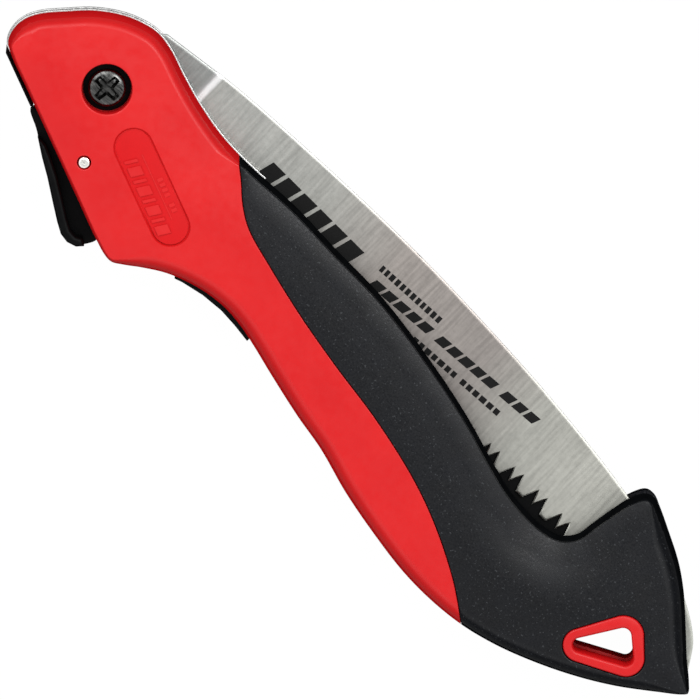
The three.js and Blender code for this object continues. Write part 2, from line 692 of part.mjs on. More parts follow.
const handle = new THREE.Group().add(
  piece("shell_front", shellFront(), redPlastic),
  piece("shell_back", shellBack(), redPlastic),
  piece("grip_front", gripHalf(), blackRubber),
  piece("grip_back", gripBack(), blackRubber),
  piece("spine_spacer", spineSpacer(), blackPlastic),
  piece("blade_guard", bladeGuard(), blackPlastic),
  piece("head_strap", headStrap(), blackPlastic),
  piece("liner_front", liner(), brightSteel),
  piece("liner_back", mirrored(liner()), brightSteel),
  piece("pivot_barrel", pivotBarrel(), blackSteel),
  piece("pivot_washer", pivotWasher(), blackSteel),
  piece("pivot_screw", pivotScrew(), blackSteel),
  piece("blade_washer_front", bladeWasher(WASHER_LOW, WASHER_HIGH), brightSteel),
  piece("blade_washer_back", bladeWasher(-WASHER_HIGH, -WASHER_LOW), brightSteel),
  piece("lever_pin", leverPin(), brightSteel),
  piece("lever_spring", leverSpring(), brightSteel),
);
SHELL_SCREWS.forEach((spot, index) => {
  handle.add(piece(`shell_screw_${index + 1}`, shellScrew(spot), blackSteel));
});

const foldingBlade = new THREE.Group().add(piece("blade", blade(), bladeSteel));
const lock = new THREE.Group().add(piece("lock_lever", lockLever(), blackPlastic));

const saw = new THREE.Group().add(handle, foldingBlade, lock);
const size = new THREE.Box3().setFromObject(saw, true);
const middle = size.getCenter(new THREE.Vector3());
saw.position.set(-middle.x, -middle.y, -size.min.z);

export default saw;
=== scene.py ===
"""A folding pruning saw, folded shut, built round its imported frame.

Outlines are drawn in millimetres about the blade pivot, in the middle of the handle's thickness:
+X runs along the handle to the tail, +Y points out of the blade slot, +Z is towards the front.
"""
import json
import math

import bmesh
import bpy
import numpy as np
from mathutils import Matrix, Vector
from mathutils.geometry import delaunay_2d_cdt


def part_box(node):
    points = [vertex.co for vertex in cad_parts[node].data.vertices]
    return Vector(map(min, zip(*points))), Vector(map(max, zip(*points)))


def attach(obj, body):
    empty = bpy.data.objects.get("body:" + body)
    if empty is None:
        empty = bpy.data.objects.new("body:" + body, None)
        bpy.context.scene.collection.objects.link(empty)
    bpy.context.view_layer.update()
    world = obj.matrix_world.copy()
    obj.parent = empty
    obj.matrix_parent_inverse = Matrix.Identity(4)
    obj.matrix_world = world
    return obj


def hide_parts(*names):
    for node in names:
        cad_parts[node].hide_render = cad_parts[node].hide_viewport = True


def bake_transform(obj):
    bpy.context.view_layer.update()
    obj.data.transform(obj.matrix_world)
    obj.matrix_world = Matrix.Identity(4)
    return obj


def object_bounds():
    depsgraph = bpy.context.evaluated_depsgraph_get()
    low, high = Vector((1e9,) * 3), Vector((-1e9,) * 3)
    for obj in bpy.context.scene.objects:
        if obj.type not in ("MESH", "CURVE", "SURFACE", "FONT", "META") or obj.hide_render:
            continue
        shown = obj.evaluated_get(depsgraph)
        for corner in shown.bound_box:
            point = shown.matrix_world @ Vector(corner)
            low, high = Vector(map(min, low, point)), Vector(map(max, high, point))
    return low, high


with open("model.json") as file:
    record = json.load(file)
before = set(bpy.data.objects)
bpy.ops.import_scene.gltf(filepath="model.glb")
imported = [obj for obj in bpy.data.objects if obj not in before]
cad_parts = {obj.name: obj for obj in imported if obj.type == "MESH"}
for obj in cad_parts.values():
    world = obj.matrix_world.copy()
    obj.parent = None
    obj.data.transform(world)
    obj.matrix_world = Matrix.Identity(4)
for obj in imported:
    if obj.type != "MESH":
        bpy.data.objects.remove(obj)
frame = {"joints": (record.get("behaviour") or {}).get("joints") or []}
cad_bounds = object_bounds()

MM = 0.001
JOINTS = {joint["name"]: joint for joint in frame["joints"]}
PIVOT = Vector(JOINTS["blade_fold"]["pos_m"])
LEVER_PIVOT = Vector(JOINTS["lever_press"]["pos_m"])
LEVER_PIN = tuple((LEVER_PIVOT - PIVOT).xy / MM)


def height_above_pivot(node, corner):
    """Lowest (0) or highest (1) level of a node, in millimetres from the middle plane."""
    return (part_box(node)[corner].z - PIVOT.z) / MM


# Levels across the thickness, from the frame.
SHELL_LOW = height_above_pivot("grip_front", 0)
GRIP_HIGH = height_above_pivot("grip_front", 1)
SHELL_HIGH = GRIP_HIGH - 0.4
LINER_LOW = height_above_pivot("liner_front", 0)
LINER_HIGH = height_above_pivot("liner_front", 1)
BLADE_HALF = height_above_pivot("blade", 1)
WEB_HALF = 1.25
PAD_HALF = height_above_pivot("lock_lever", 1)
STRAP_HALF = height_above_pivot("head_strap", 1)
GUARD_HIGH = height_above_pivot("blade_guard", 1)
SCREW_HIGH = height_above_pivot("pivot_screw", 1)
WASHER_LOW = height_above_pivot("pivot_washer", 0)
WASHER_HIGH = height_above_pivot("pivot_washer", 1)
RECESS_FLOOR = WASHER_LOW - 0.1
PIN_HIGH = height_above_pivot("lever_pin", 1)

# Outline of a handle half at the slot, clockwise from the red corner below the lever.
HANDLE = [
    (29.0, -31.2), (24, -29.6), (12, -24.8), (-2, -19.2), (-14, -14.4), (-22.5, -11.0),
    (-25.4, -9.2), (-26.6, -6.0), (-26.4, -2.6), (-24.6, 1.2), (-20, 6.5), (-15.5, 11.1),
    (-10, 15.0), (-5, 17.2), (0, 18.2), (5, 17.5), (12, 15.0), (20, 12.5), (30, 10.5),
    (40, 10.0), (55, 10.4), (70, 9.6), (85, 9.0), (95, 7.7), (105, 5.9), (115, 3.8),
    (125, 1.2), (135, -2.0), (143, -4.2), (150, -5.1), (156, -5.0), (160.5, -3.6),
    (163.2, -0.6), (164.2, 4.5), (165.2, 10), (166.6, 15.5), (168.6, 18.8), (171, 19.4),
    (174, 18.2), (180, 15.2), (187, 11.4), (193, 7.0), (199, 1.4), (205, -4.4),
    (209.6, -8.4), (210.8, -9.9), (209.8, -11.6), (205, -15.6), (197, -21.4), (188, -26.6),
    (178, -31.2), (168, -34.8), (158, -37.1), (148, -37.9), (138, -37.5), (126, -35.6),
    (114, -33), (102, -29.4), (92, -27.4), (80, -24.4), (72, -22.2), (66, -20.8),
    (60, -20.2), (54, -20.7), (48, -22.2), (43, -24.2), (38, -27.2), (34, -29.9), (31.4, -31.3),
]
GRIP_EDGE = [
    (33, 15), (34.6, 12), (36.8, 9.4), (40, 6.7), (45, 2.2), (50, -0.9), (60, -4), (75, -7.9),
    (90, -10.9), (105, -13.4), (120, -17.0), (130, -20.4), (140, -25), (150, -30.8),
    (158, -37), (163, -42),
]
HOLE_CORNERS = [(182.4, -19.6), (193.0, -14.1), (188.6, -10.5)]
HOLE_RADII = [1.8, 1.9, 2.1]
EYELET_RADII = [4.3, 4.7, 5.3]
SHELL_SCREWS = [(36.5, -20.5), (100, -22), (165, -27.5)]

OUTLINE_STEPS = 8
LEVER_SIDE_ANGLE = 248.3
LEVER_SIDE_DISTANCE = 18.7

# How far the rounded edges of a half reach in, and how its faces swell beyond them.
EDGE_ROLL = 4.5
ROLL_STEPS = 14
ROLL_TAPER = 0.3
INSET_TAPER = 0.45
SLOT_ROLL = 1.0
SLOT_ENDS_X = (38, 169.5)
SLOT_LOWEST_Y = -12
HEAD_ROLL = 3.2
LEVER_SIDE_ROLL = 1.2
LEVER_SIDE_BAND = 0.6
LEVER_SIDE_END_X = 30
CROWN = 0.8
CROWN_RUN = 8.0
HOOK_HOLLOW = (158, -4)
HOOK_RUN = 14
HOOK_CROWN = 1.3
EDGE_SLOPE = 0.4

# Holes, recesses and the small rounded lips round them.
SCREW_RECESS_RADIUS = 6.3
BARREL_HOLE_RADIUS = 3.8
PIN_HOLE_RADIUS = 1.75
SCREW_ROOM_RADIUS = 3.2
SCREW_ROOM_FLOOR = 8.1
RED_LIP = 0.25
BLACK_LIP = 0.4
EYELET_LIP = 0.6
HOLE_LIP = 0.8
RECESS_LIP = 0.35
SEAM = 0.12

# The badge.
PANEL_DEPTH = 0.8
PANEL_WALL_RUN = 0.5
PANEL_CENTRE = (25.2, -10.1)
PANEL_LENGTH = 32
PANEL_WIDTH = 10
PANEL_TILT = -21.7


# ------------------------------------------------------------------ plane curves

def spline(points, closed=True, steps=OUTLINE_STEPS):
    """Centripetal Catmull-Rom curve through the points."""
    knots = np.array(points, float)
    if closed:
        padded = np.vstack([knots[-1:], knots, knots[:2]])
    else:
        padded = np.vstack([2 * knots[0] - knots[1], knots, 2 * knots[-1] - knots[-2]])
    t = (np.arange(steps) / steps)[:, None]
    pieces = []
    for p0, p1, p2, p3 in zip(padded, padded[1:], padded[2:], padded[3:]):
        d0, d1, d2 = (np.linalg.norm(b - a) ** 0.5 for a, b in ((p0, p1), (p1, p2), (p2, p3)))
        m1 = ((p1 - p0) / d0 - (p2 - p0) / (d0 + d1) + (p2 - p1) / d1) * d1
        m2 = ((p2 - p1) / d1 - (p3 - p1) / (d1 + d2) + (p3 - p2) / d2) * d1
        hermite = (2 * t**3 - 3 * t**2 + 1) * p1 + (t**3 - 2 * t**2 + t) * m1
        pieces.append(hermite + (3 * t**2 - 2 * t**3) * p2 + (t**3 - t**2) * m2)
    if not closed:
        pieces.append(knots[-1:])
    return np.vstack(pieces)


def counter_clockwise(points):
    points = np.array(points, float)
    after = np.roll(points, -1, axis=0)
    area = np.sum(points[:, 0] * after[:, 1] - after[:, 0] * points[:, 1])
    return points if area > 0 else points[::-1]


def polar(radius, degrees, centre=(0, 0)):
    angle = math.radians(degrees)
    return (centre[0] + radius * math.cos(angle), centre[1] + radius * math.sin(angle))


def circle(centre, radius, count=64):
    return np.array([polar(radius, 360 * k / count, centre) for k in range(count)])


def rounded_triangle(corners, radii, steps=14):
    points = []
    for index, corner in enumerate(corners):
        before, after = corners[index - 1], corners[(index + 1) % 3]
        start = math.atan2(corner[1] - before[1], corner[0] - before[0]) - math.pi / 2
        end = math.atan2(after[1] - corner[1], after[0] - corner[0]) - math.pi / 2
        sweep = (end - start) % (2 * math.pi)
        for step in range(steps + 1):
            degrees = math.degrees(start + sweep * step / steps)
            points.append(polar(radii[index], degrees, corner))
    return np.array(points)


def resampled(loop, spacing=1.2):
    """The loop with its long sides cut into short steps."""
    points = []
    for a, b in zip(loop, np.roll(loop, -1, axis=0)):
        count = max(1, int(np.linalg.norm(b - a) / spacing))
        points.extend(a + (b - a) * k / count for k in range(count))
    return np.array(points)


def stadium(centre, length, width, tilt, steps=18):
    """A bar with round ends."""
    half = (length - width) / 2
    points = []
    for side, start in ((half, -90), (-half, 90)):
        end_centre = polar(side, tilt, centre)
        for k in range(steps + 1):
            points.append(polar(width / 2, tilt + start + 180 * k / steps, end_centre))
    return resampled(np.array(points))


def normals(line, closed):
    """Unit normals to the left of the way the line runs."""
    if closed:
        along = np.roll(line, -1, axis=0) - np.roll(line, 1, axis=0)
    else:
        along = np.gradient(line, axis=0)
    along /= np.linalg.norm(along, axis=1)[:, None]
    return np.stack([-along[:, 1], along[:, 0]], axis=1)


def shifted(line, distance, closed=False):
    return line + normals(line, closed) * distance


def tapered(reach, outline, slope, passes=60):
    """The reach along the outline, lowered until it changes no faster than the slope."""
    step = slope * np.linalg.norm(np.roll(outline, -1, axis=0) - outline, axis=1)
    for _ in range(passes):
        reach = np.minimum(reach, np.roll(reach, 1) + np.roll(step, 1))
        reach = np.minimum(reach, np.roll(reach, -1) + step)
    return reach


def inset_shares(outline, deepest=5.0):
    """How much of an inset each point can take: less near tight bends."""
    reach = np.full(len(outline), deepest)
    for stencil in (OUTLINE_STEPS // 2, OUTLINE_STEPS):
        before = outline - np.roll(outline, stencil, axis=0)
        after = np.roll(outline, -stencil, axis=0) - outline
        cross = before[:, 0] * after[:, 1] - before[:, 1] * after[:, 0]
        turn = np.arctan2(cross, np.sum(before * after, axis=1))
        length = np.linalg.norm(before, axis=1) + np.linalg.norm(after, axis=1)
        bend = length / (2 * np.maximum(turn, 1e-4))
        reach = np.minimum(reach, 0.7 * bend)
    return tapered(reach, outline, INSET_TAPER) / deepest


def inset(outline, distance, shares):
    return outline + normals(outline, True) * (distance * shares)[:, None]


def nearest_on(points, line, closed=True):
    """Distance from each point to a line of straight steps, and where on it the nearest spot is."""
    start = line if closed else line[:-1]
    step = (np.roll(line, -1, axis=0) - line) if closed else line[1:] - line[:-1]
    square = np.maximum(np.sum(step**2, axis=1), 1e-12)
    spots = []
    for chunk in np.array_split(points, max(1, len(points) // 1500)):
        offset = chunk[:, None] - start[None]
        along = np.clip(np.sum(offset * step, axis=2) / square, 0, 1)
        gap = np.sum((offset - along[..., None] * step) ** 2, axis=2)
        best = np.argmin(gap, axis=1)
        each = np.arange(len(chunk))
        spots.append(np.stack([np.sqrt(gap[each, best]), best + along[each, best]], axis=1))
    return np.concatenate(spots)


def distance_to(points, line, closed=True):
    return nearest_on(points, line, closed)[:, 0]


def inside(points, loop):
    """Whether each point lies inside a closed loop."""
    x, y = points[:, 0:1], points[:, 1:2]
    x0, y0 = loop[:, 0], loop[:, 1]
    x1, y1 = np.roll(x0, -1), np.roll(y0, -1)
    straddles = (y0 > y) != (y1 > y)
    rise = np.where(y1 == y0, 1e-12, y1 - y0)
    crossing = x < (x1 - x0) * (y - y0) / rise + x0
    return np.sum(straddles & crossing, axis=1) % 2 == 1


def grid(loop, spacing, margin):
    """Points of a staggered grid inside a loop, kept clear of its edge."""
    low, high = loop.min(axis=0), loop.max(axis=0)
    rows = np.arange(low[1], high[1], spacing * 0.866)
    points = [
        (x + (row % 2) * spacing / 2, y)
        for row, y in enumerate(rows)
        for x in np.arange(low[0], high[0], spacing)
    ]
    points = np.array(points)
    points = points[inside(points, loop)]
    return points[distance_to(points, loop) > margin]


# ------------------------------------------------------------------ solids from plane regions

class Plan:
    """A plane cut into triangles along given lines."""

    def __init__(self):
        self.points = []
        self.edges = []

    def line(self, points, closed=True):
        start = len(self.points)
        count = len(points)
        self.points.extend(Vector(point) for point in points)
        last = count if closed else count - 1
        self.edges.extend((start + k, start + (k + 1) % count) for k in range(last))

    def dots(self, points):
        self.points.extend(Vector(point) for point in points)

    def cut(self):
        result = delaunay_2d_cdt(self.points, self.edges, [], 0, 1e-5, True)
        self.flat = np.array([tuple(point) for point in result[0]])
        self.triangles = np.array(result[2])
        corners = self.flat[self.triangles]
        a, b = corners[:, 1] - corners[:, 0], corners[:, 2] - corners[:, 0]
        flipped = a[:, 0] * b[:, 1] - a[:, 1] * b[:, 0] < 0
        self.triangles[flipped] = self.triangles[flipped][:, ::-1]
        self.centres = corners.mean(axis=1)


def rows(plan, line, distances, closed=True):
    """Adds copies of a line, shifted sideways by each distance."""
    for distance in distances:
        plan.line(shifted(line, distance, closed=closed), closed=closed)


def solid(plan, region, tops, bottoms, flip=False):
    """Vertices and faces of the closed body over the triangles whose region has a top."""
    vertices, faces, index, owner = [], [], {}, {}

    def corner(point, height):
        key = (point, round(float(height), 4))
        if key not in index:
            index[key] = len(vertices)
            x, y = plan.flat[point]
            vertices.append((x, y, -key[1] if flip else key[1]))
        return index[key]

    def face(*corners):
        ring = [c for k, c in enumerate(corners) if c != corners[k - 1]]
        if len(set(ring)) > 2:
            faces.append(ring[::-1] if flip else ring)

    kept = [(tri, key) for tri, key in zip(plan.triangles, region) if key in tops]
    for tri, key in kept:
        for a, b in zip(tri, np.roll(tri, -1)):
            owner[(a, b)] = key
    for (a, b, c), key in kept:
        top, bottom = tops[key], bottoms[key]
        face(corner(a, top[a]), corner(b, top[b]), corner(c, top[c]))
        face(corner(c, bottom[c]), corner(b, bottom[b]), corner(a, bottom[a]))
    for (a, b), key in owner.items():
        other = owner.get((b, a))
        top, bottom = tops[key], bottoms[key]
        if other is None:
            face(corner(a, bottom[a]), corner(b, bottom[b]), corner(b, top[b]), corner(a, top[a]))
        elif other != key:
            low = tops[other]
            if top[a] + top[b] > low[a] + low[b]:
                face(corner(a, low[a]), corner(b, low[b]), corner(b, top[b]), corner(a, top[a]))
            high = bottoms[other]
            if bottom[a] + bottom[b] < high[a] + high[b]:
                face(corner(a, bottom[a]), corner(b, bottom[b]),
                     corner(b, high[b]), corner(a, high[a]))
    return vertices, faces


def mirrored(shape):
    """The shape on the other side of the middle plane."""
    vertices, faces = shape
    return [(x, y, -z) for x, y, z in vertices], [face[::-1] for face in faces]


def within_box(spot):
    """The point itself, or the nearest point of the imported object's box."""
    low, high = cad_bounds
    return tuple(min(max(spot[k], low[k]), high[k]) for k in range(3))


def add_piece(name, shapes, body, material, nodes=(), sharp=33, wall=None):
    """One mesh object from one or more (vertices, faces) in drawing millimetres.

    Faces steeper than EDGE_SLOPE take the wall material when there is one: a matte copy of the
    face's material with no reflection, which paints the walls dark as if in shade.
    """
    vertices, faces = [], []
    for shape_vertices, shape_faces in shapes:
        start = len(vertices)
        vertices.extend(within_box(PIVOT + MM * Vector(v)) for v in shape_vertices)
        faces.extend([start + k for k in face] for face in shape_faces)
    mesh = bpy.data.meshes.new(name)
    mesh.from_pydata(vertices, [], faces)
    shape = bmesh.new()
    shape.from_mesh(mesh)
    limit = math.radians(sharp)
    for edge in shape.edges:
        edge.smooth = edge.is_manifold and edge.calc_face_angle() < limit
    for polygon in shape.faces:
        polygon.smooth = True
    shape.to_mesh(mesh)
    shape.free()
    mesh.materials.append(material)
    # Steep faces take the wall material, which paints them dark as shade.
    if wall:
        mesh.materials.append(wall)
        for polygon in mesh.polygons:
            polygon.material_index = int(abs(polygon.normal.z) < EDGE_SLOPE)
    piece = bpy.data.objects.new(name, mesh)
    bpy.context.scene.collection.objects.link(piece)
    if body:
        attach(piece, body)
    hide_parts(*nodes)
    return piece


def fillet_drop(distance, radius):
    """How far a rounded edge lies below the flat, at a distance in from it."""
    share = 1 - np.clip(distance / radius, 0, 1)
    return radius * (1 - np.sqrt(np.maximum(0, 1 - share**2)))


FILLET_STOPS = (0.0, 0.04, 0.15, 0.33, 0.6, 1.0)


def slab(outers, holes, low, high, fillet):
    """A flat plate where the outer loops overlap, less the holes, with rounded edges."""
    plan = Plan()
    outers = [counter_clockwise(loop) for loop in outers]
    holes = [counter_clockwise(loop) for loop in holes]
    for side, loops in ((1, outers), (-1, holes)):
        for loop in loops:
            rows(plan, loop, [side * stop * fillet for stop in FILLET_STOPS])
    plan.cut()
    keep = np.all([inside(plan.centres, loop) for loop in outers], axis=0)
    for hole in holes:
        keep &= ~inside(plan.centres, hole)
    reach = np.min([distance_to(plan.flat, loop) for loop in outers + holes], axis=0)
    drop = fillet_drop(reach, fillet)
    region = ["plate" if kept else None for kept in keep]
    return solid(plan, region, {"plate": high - drop}, {"plate": low + drop})


def turned(profile, centre=(0, 0), count=72):
    """A body turned about an upright axis, from (radius, height) pairs that start and end on it."""
    vertices, faces, rings = [], [], []
    for radius, height in profile:
        on_axis = radius < 1e-6
        first = len(vertices)
        ring = [first] * count if on_axis else list(range(first, first + count))
        for k in range(1 if on_axis else count):
            x, y = polar(radius, 360 * k / count, centre)
            vertices.append((x, y, height))
        rings.append(ring)
    for lower, upper in zip(rings, rings[1:]):
        for k in range(count):
            after = (k + 1) % count
            corners = [lower[k], lower[after], upper[after], upper[k]]
            faces.append([c for j, c in enumerate(corners) if c != corners[j - 1]])
    return vertices, faces


# ------------------------------------------------------------------ handle halves

def roll_reach(outline):
    """How far the rounded edge reaches in from the outline at each point."""
    x, y = outline[:, 0], outline[:, 1]
    reach = EDGE_ROLL * inset_shares(outline)
    slot_side = (x > SLOT_ENDS_X[0]) & (x < SLOT_ENDS_X[1]) & (y > SLOT_LOWEST_Y)
    reach = np.where(slot_side, np.minimum(reach, SLOT_ROLL), reach)
    head_side = (x < SLOT_ENDS_X[0]) & (y > 0)
    reach = np.where(head_side, np.minimum(reach, HEAD_ROLL), reach)
    facing = math.radians(LEVER_SIDE_ANGLE)
    lever_side = (x * math.cos(facing) + y * math.sin(facing)
                  > LEVER_SIDE_DISTANCE - LEVER_SIDE_BAND)
    lever_side &= x < LEVER_SIDE_END_X
    reach = np.where(lever_side, np.minimum(reach, LEVER_SIDE_ROLL), reach)
    return tapered(reach, outline, ROLL_TAPER)


handle_outline = counter_clockwise(spline(HANDLE))
handle_reach = roll_reach(handle_outline)
grip_edge = spline(GRIP_EDGE, closed=False)


panel = stadium(PANEL_CENTRE, PANEL_LENGTH, PANEL_WIDTH, PANEL_TILT)
eyelet = resampled(rounded_triangle(HOLE_CORNERS, EYELET_RADII))
hanging_hole = resampled(rounded_triangle(HOLE_CORNERS, HOLE_RADII), 0.8)
screw_recess = circle((0, 0), SCREW_RECESS_RADIUS, 96)
barrel_hole = circle((0, 0), BARREL_HOLE_RADIUS)
pin_hole = circle(LEVER_PIN, PIN_HOLE_RADIUS, 40)


def rolled_height(points, high):
    """Height of a rounded, slightly crowned half at plane points."""
    spot = nearest_on(points, handle_outline)
    index = spot[:, 1].astype(int) % len(handle_outline)
    share = spot[:, 1] % 1
    reach = handle_reach[index] * (1 - share) + np.roll(handle_reach, -1)[index] * share
    edge = handle_outline[index]
    from_hook = np.linalg.norm(edge - np.array(HOOK_HOLLOW), axis=1) / HOOK_RUN
    crown = CROWN + HOOK_CROWN * np.exp(-(from_hook**2))
    run = 1 - np.clip(spot[:, 0] / reach, 0, 1)
    rise = (high - crown - SHELL_LOW) * np.sqrt(np.maximum(0, 1 - run**2))
    beyond = np.maximum(0, spot[:, 0] - reach) / CROWN_RUN
    return SHELL_LOW + rise + crown * (1 - np.exp(-(beyond**2)))


def handle_plan(is_front):
    """A half's face, cut along its roll, the seam of the grip and the rim of every feature."""
    plan = Plan()
    for angle in np.linspace(0, math.pi / 2, ROLL_STEPS + 1):
        distance = handle_reach * (1 - math.cos(angle))
        plan.line(handle_outline + normals(handle_outline, True) * distance[:, None])
    edge_rows = (-0.6, -SEAM - RED_LIP, -0.26, -0.18, -SEAM, 0, 0.06, 0.16, BLACK_LIP, 0.7)
    rows(plan, grip_edge, edge_rows, closed=False)
    rows(plan, eyelet, (0.6, 0.3, 0.12, 0, -SEAM, -0.2, -0.32, -SEAM - BLACK_LIP))
    rows(plan, hanging_hole, (0, -0.08, -0.25, -0.5, -0.8))
    rows(plan, screw_recess, (0, -0.05, -0.15, -0.35, -0.7))
    rows(plan, pin_hole, (0, -0.08, -0.25, -0.5))
    plan.line(barrel_hole)
    features = [eyelet, screw_recess, pin_hole]
    if is_front:
        rows(plan, panel, (-0.25, -0.1, 0.05, 0.2, 0.4, 0.6))
        features.append(panel)
    else:
        for spot in SHELL_SCREWS:
            room = circle(spot, SCREW_ROOM_RADIUS, 48)
            rows(plan, room, (0, -0.08, -0.25, -0.5))
            features.append(room)
    dots = grid(handle_outline, 2.0, EDGE_ROLL + 0.8)
    dots = dots[distance_to(dots, grip_edge, closed=False) > 1.2]
    for feature in features:
        dots = dots[distance_to(dots, feature) > 1.2]
    plan.dots(dots)
    plan.cut()
    return plan


def on_tail_side(points):
    """Whether points lie past the line where the grip starts."""
    fence = np.vstack([grip_edge, [(260, -60), (260, 60), (33, 60)]])
    return inside(points, fence)


def handle_regions(plan, is_front):
    centres = plan.centres
    seam = distance_to(centres, grip_edge, closed=False) < SEAM
    tail = on_tail_side(centres)
    region = np.where(tail, "grip", "head").astype(object)
    region[seam & ~tail] = None
    around_eyelet = inside(centres, shifted(eyelet, -SEAM, closed=True))
    region[around_eyelet] = None
    region[inside(centres, eyelet)] = "eyelet"
    region[inside(centres, hanging_hole)] = None
    region[inside(centres, screw_recess)] = "floor"
    region[inside(centres, barrel_hole)] = None
    region[inside(centres, pin_hole)] = None
    if not is_front:
        for spot in SHELL_SCREWS:
            in_room = inside(centres, circle(spot, SCREW_ROOM_RADIUS, 48))
            region[in_room & tail] = "grip_room"
            region[in_room & ~tail] = "head_room"
    region[~inside(centres, handle_outline)] = None
    return region


def handle_heights(plan, is_front):
    flat = plan.flat
    red = rolled_height(flat, SHELL_HIGH)
    black = rolled_height(flat, GRIP_HIGH)
    seam = distance_to(flat, grip_edge, closed=False)
    red -= fillet_drop(seam - SEAM, RED_LIP)
    black -= fillet_drop(seam, BLACK_LIP)
    around_eyelet = distance_to(flat, eyelet)
    lip = black.copy()
    black -= fillet_drop(around_eyelet - SEAM, BLACK_LIP)
    lip -= fillet_drop(around_eyelet, EYELET_LIP)
    lip -= fillet_drop(distance_to(flat, hanging_hole), HOLE_LIP)
    red -= fillet_drop(distance_to(flat, screw_recess), RECESS_LIP)
    red -= fillet_drop(distance_to(flat, pin_hole), RED_LIP)
    if is_front:
        sunk = distance_to(flat, panel) * np.where(inside(flat, panel), 1, -1)
        share = np.clip((sunk + 0.1) / PANEL_WALL_RUN, 0, 1)
        red -= PANEL_DEPTH * share**2 * (3 - 2 * share)
    else:
        for spot in SHELL_SCREWS:
            rim = distance_to(flat, circle(spot, SCREW_ROOM_RADIUS, 48))
            red -= fillet_drop(rim, RECESS_LIP)
            black -= fillet_drop(rim, RECESS_LIP)
    level = np.ones(len(flat))
    room = level * SCREW_ROOM_FLOOR
    red_tops = {"head": red, "eyelet": lip, "floor": level * RECESS_FLOOR, "head_room": room}
    black_tops = {"grip": black, "grip_room": room}
    return red_tops, black_tops


CORE_MARGIN = 3.0
CORE_START_X = 48
CORE_PROUD = 0.05
CORE_DEPTH = 0.6


def core_plate():
    """The hard core's flat inner face, which shows in the slot beside the blade."""
    ring = inset(handle_outline, CORE_MARGIN, inset_shares(handle_outline))
    ring = ring[ring[:, 0] > CORE_START_X]
    proud = SHELL_LOW - CORE_PROUD
    return slab([ring], [hanging_hole], proud, SHELL_LOW + CORE_DEPTH, CORE_PROUD)


def handle_half(is_front):
    plan = handle_plan(is_front)
    region = handle_regions(plan, is_front)
    red_tops, black_tops = handle_heights(plan, is_front)
    low = np.full(len(plan.flat), SHELL_LOW)
    flip = not is_front
    red = solid(plan, region, red_tops, dict.fromkeys(red_tops, low), flip)
    black = solid(plan, region, black_tops, dict.fromkeys(black_tops, low), flip)
    core = core_plate()
    return [red, mirrored(core) if flip else core], [black]


# ------------------------------------------------------------------ slot, head and lock

BARREL_FIT = 3.7
LINER_RIM = 0.35
LINER_STEP_IN = 0.25
LINER_REACH = 36
SHELL_SCREW_BORE = 1.55
FINGER_HALF = 1.35
GUARD_GAP = 0.35
FINGER = [
    (17.2, -14.2), (21.5, -14.0), (38, -16.6), (46.5, -16.0), (46.5, -45), (30.5, -45),
    (30.5, -22.0), (21.0, -18.2), (17.0, -16.85),
]
SPINE = [
    (46, -16.0), (64, -15.0), (80, -17.0), (100, -18.6), (125, -23.0), (145, -25.4),
    (165, -24.6), (183, -23.6), (195, -18.8), (203, -14.2), (203, -45), (46, -45),
]
NECK_PAD = [
    (46, -23.75), (48, -23.1), (54, -21.9), (60, -21.5), (65, -21.9), (70, -22.6),
    (70, -19), (60, -17.5), (50, -19), (46, -20.8),
]
GUARD_MOUTH = [
    (176, 3), (164.2, 3), (163.4, 0.9), (157, 1.2), (150, 1.6), (143, 1.85), (136, 1.9),
    (124, 1.2), (115, 2.4), (105, 4.0), (85, 6.8), (70, 7.2), (50, 8),
]
STRAP_INNER = 18.95
STRAP_OUTER = 19.65
STRAP_START = 2.9
STRAP_LENGTH = 16.2
LEVER_OUTSIDE = [
    (-9.35, -16.6), (-9.55, -17.8), (-5, -20.4), (0, -23.7), (5, -26.8), (10, -30.2),
    (14.5, -33.2), (17.3, -34.8), (19.8, -35.2), (22.6, -34.3), (24.4, -32.2), (25.2, -30.2),
    (24.2, -28.2), (21.2, -26.9), (18.7, -24.7), (14.6, -23.2), (12.6, -21.0), (11.2, -18.4),
]
LEVER_INSIDE = [(6.4, -16.0), (1.0, -17.1)]
PAD = [
    (-3.8, -21.1), (0.5, -24.05), (5, -26.8), (10, -30.2), (14.5, -33.2), (17.3, -34.8),
    (19.8, -35.2), (22.2, -34.5), (23.6, -33.0), (22.0, -31.9), (20.4, -32.7), (18.4, -32.5),
    (15.6, -30.9), (11.4, -28.1), (6.4, -24.9), (2.0, -22.6), (-1.0, -21.2),
]
NOTCH_ANGLE = 252
OPEN_ANGLE = 150
NOSE_ROOT = (18.1, 1.5)
NOSE_TIP = (15.9, 1.0)
LEVER_BORE = 1.7
LEVER_BOSS = 3.2
HEAD_RADIUS = 4.7
BARREL_RADIUS = 3.5
SCREW_BORE = 2.6
SCREW_RING_RADIUS = 6.0
THRUST_RING_RADIUS = 8
THRUST_RING_LEVELS = (0.7, 1.35)
RING_FILLET = 0.1
SPRING_START = (18.8, -17.8)
SPRING_END = (16.75, -23.65)
SPRING_TURNS = 6
SPRING_WIRE = 0.25


def liner_shape():
    foot = polar(LEVER_SIDE_DISTANCE - LINER_STEP_IN, LEVER_SIDE_ANGLE)
    ends = [polar(along, LEVER_SIDE_ANGLE + 90, foot) for along in (-LINER_REACH, LINER_REACH)]
    region = [(-40, 40), *ends, (29.4, -30.6), (33, -28.4), (45, -21.6), (45, 40)]
    rim = shifted(handle_outline, -LINER_RIM, closed=True)
    holes = [
        circle((0, 0), BARREL_FIT), circle(LEVER_PIN, PIN_HOLE_RADIUS, 32),
        circle(SHELL_SCREWS[0], SHELL_SCREW_BORE, 24),
    ]
    return slab([rim, resampled(np.array(region))], holes, LINER_LOW, LINER_HIGH, 0.15)


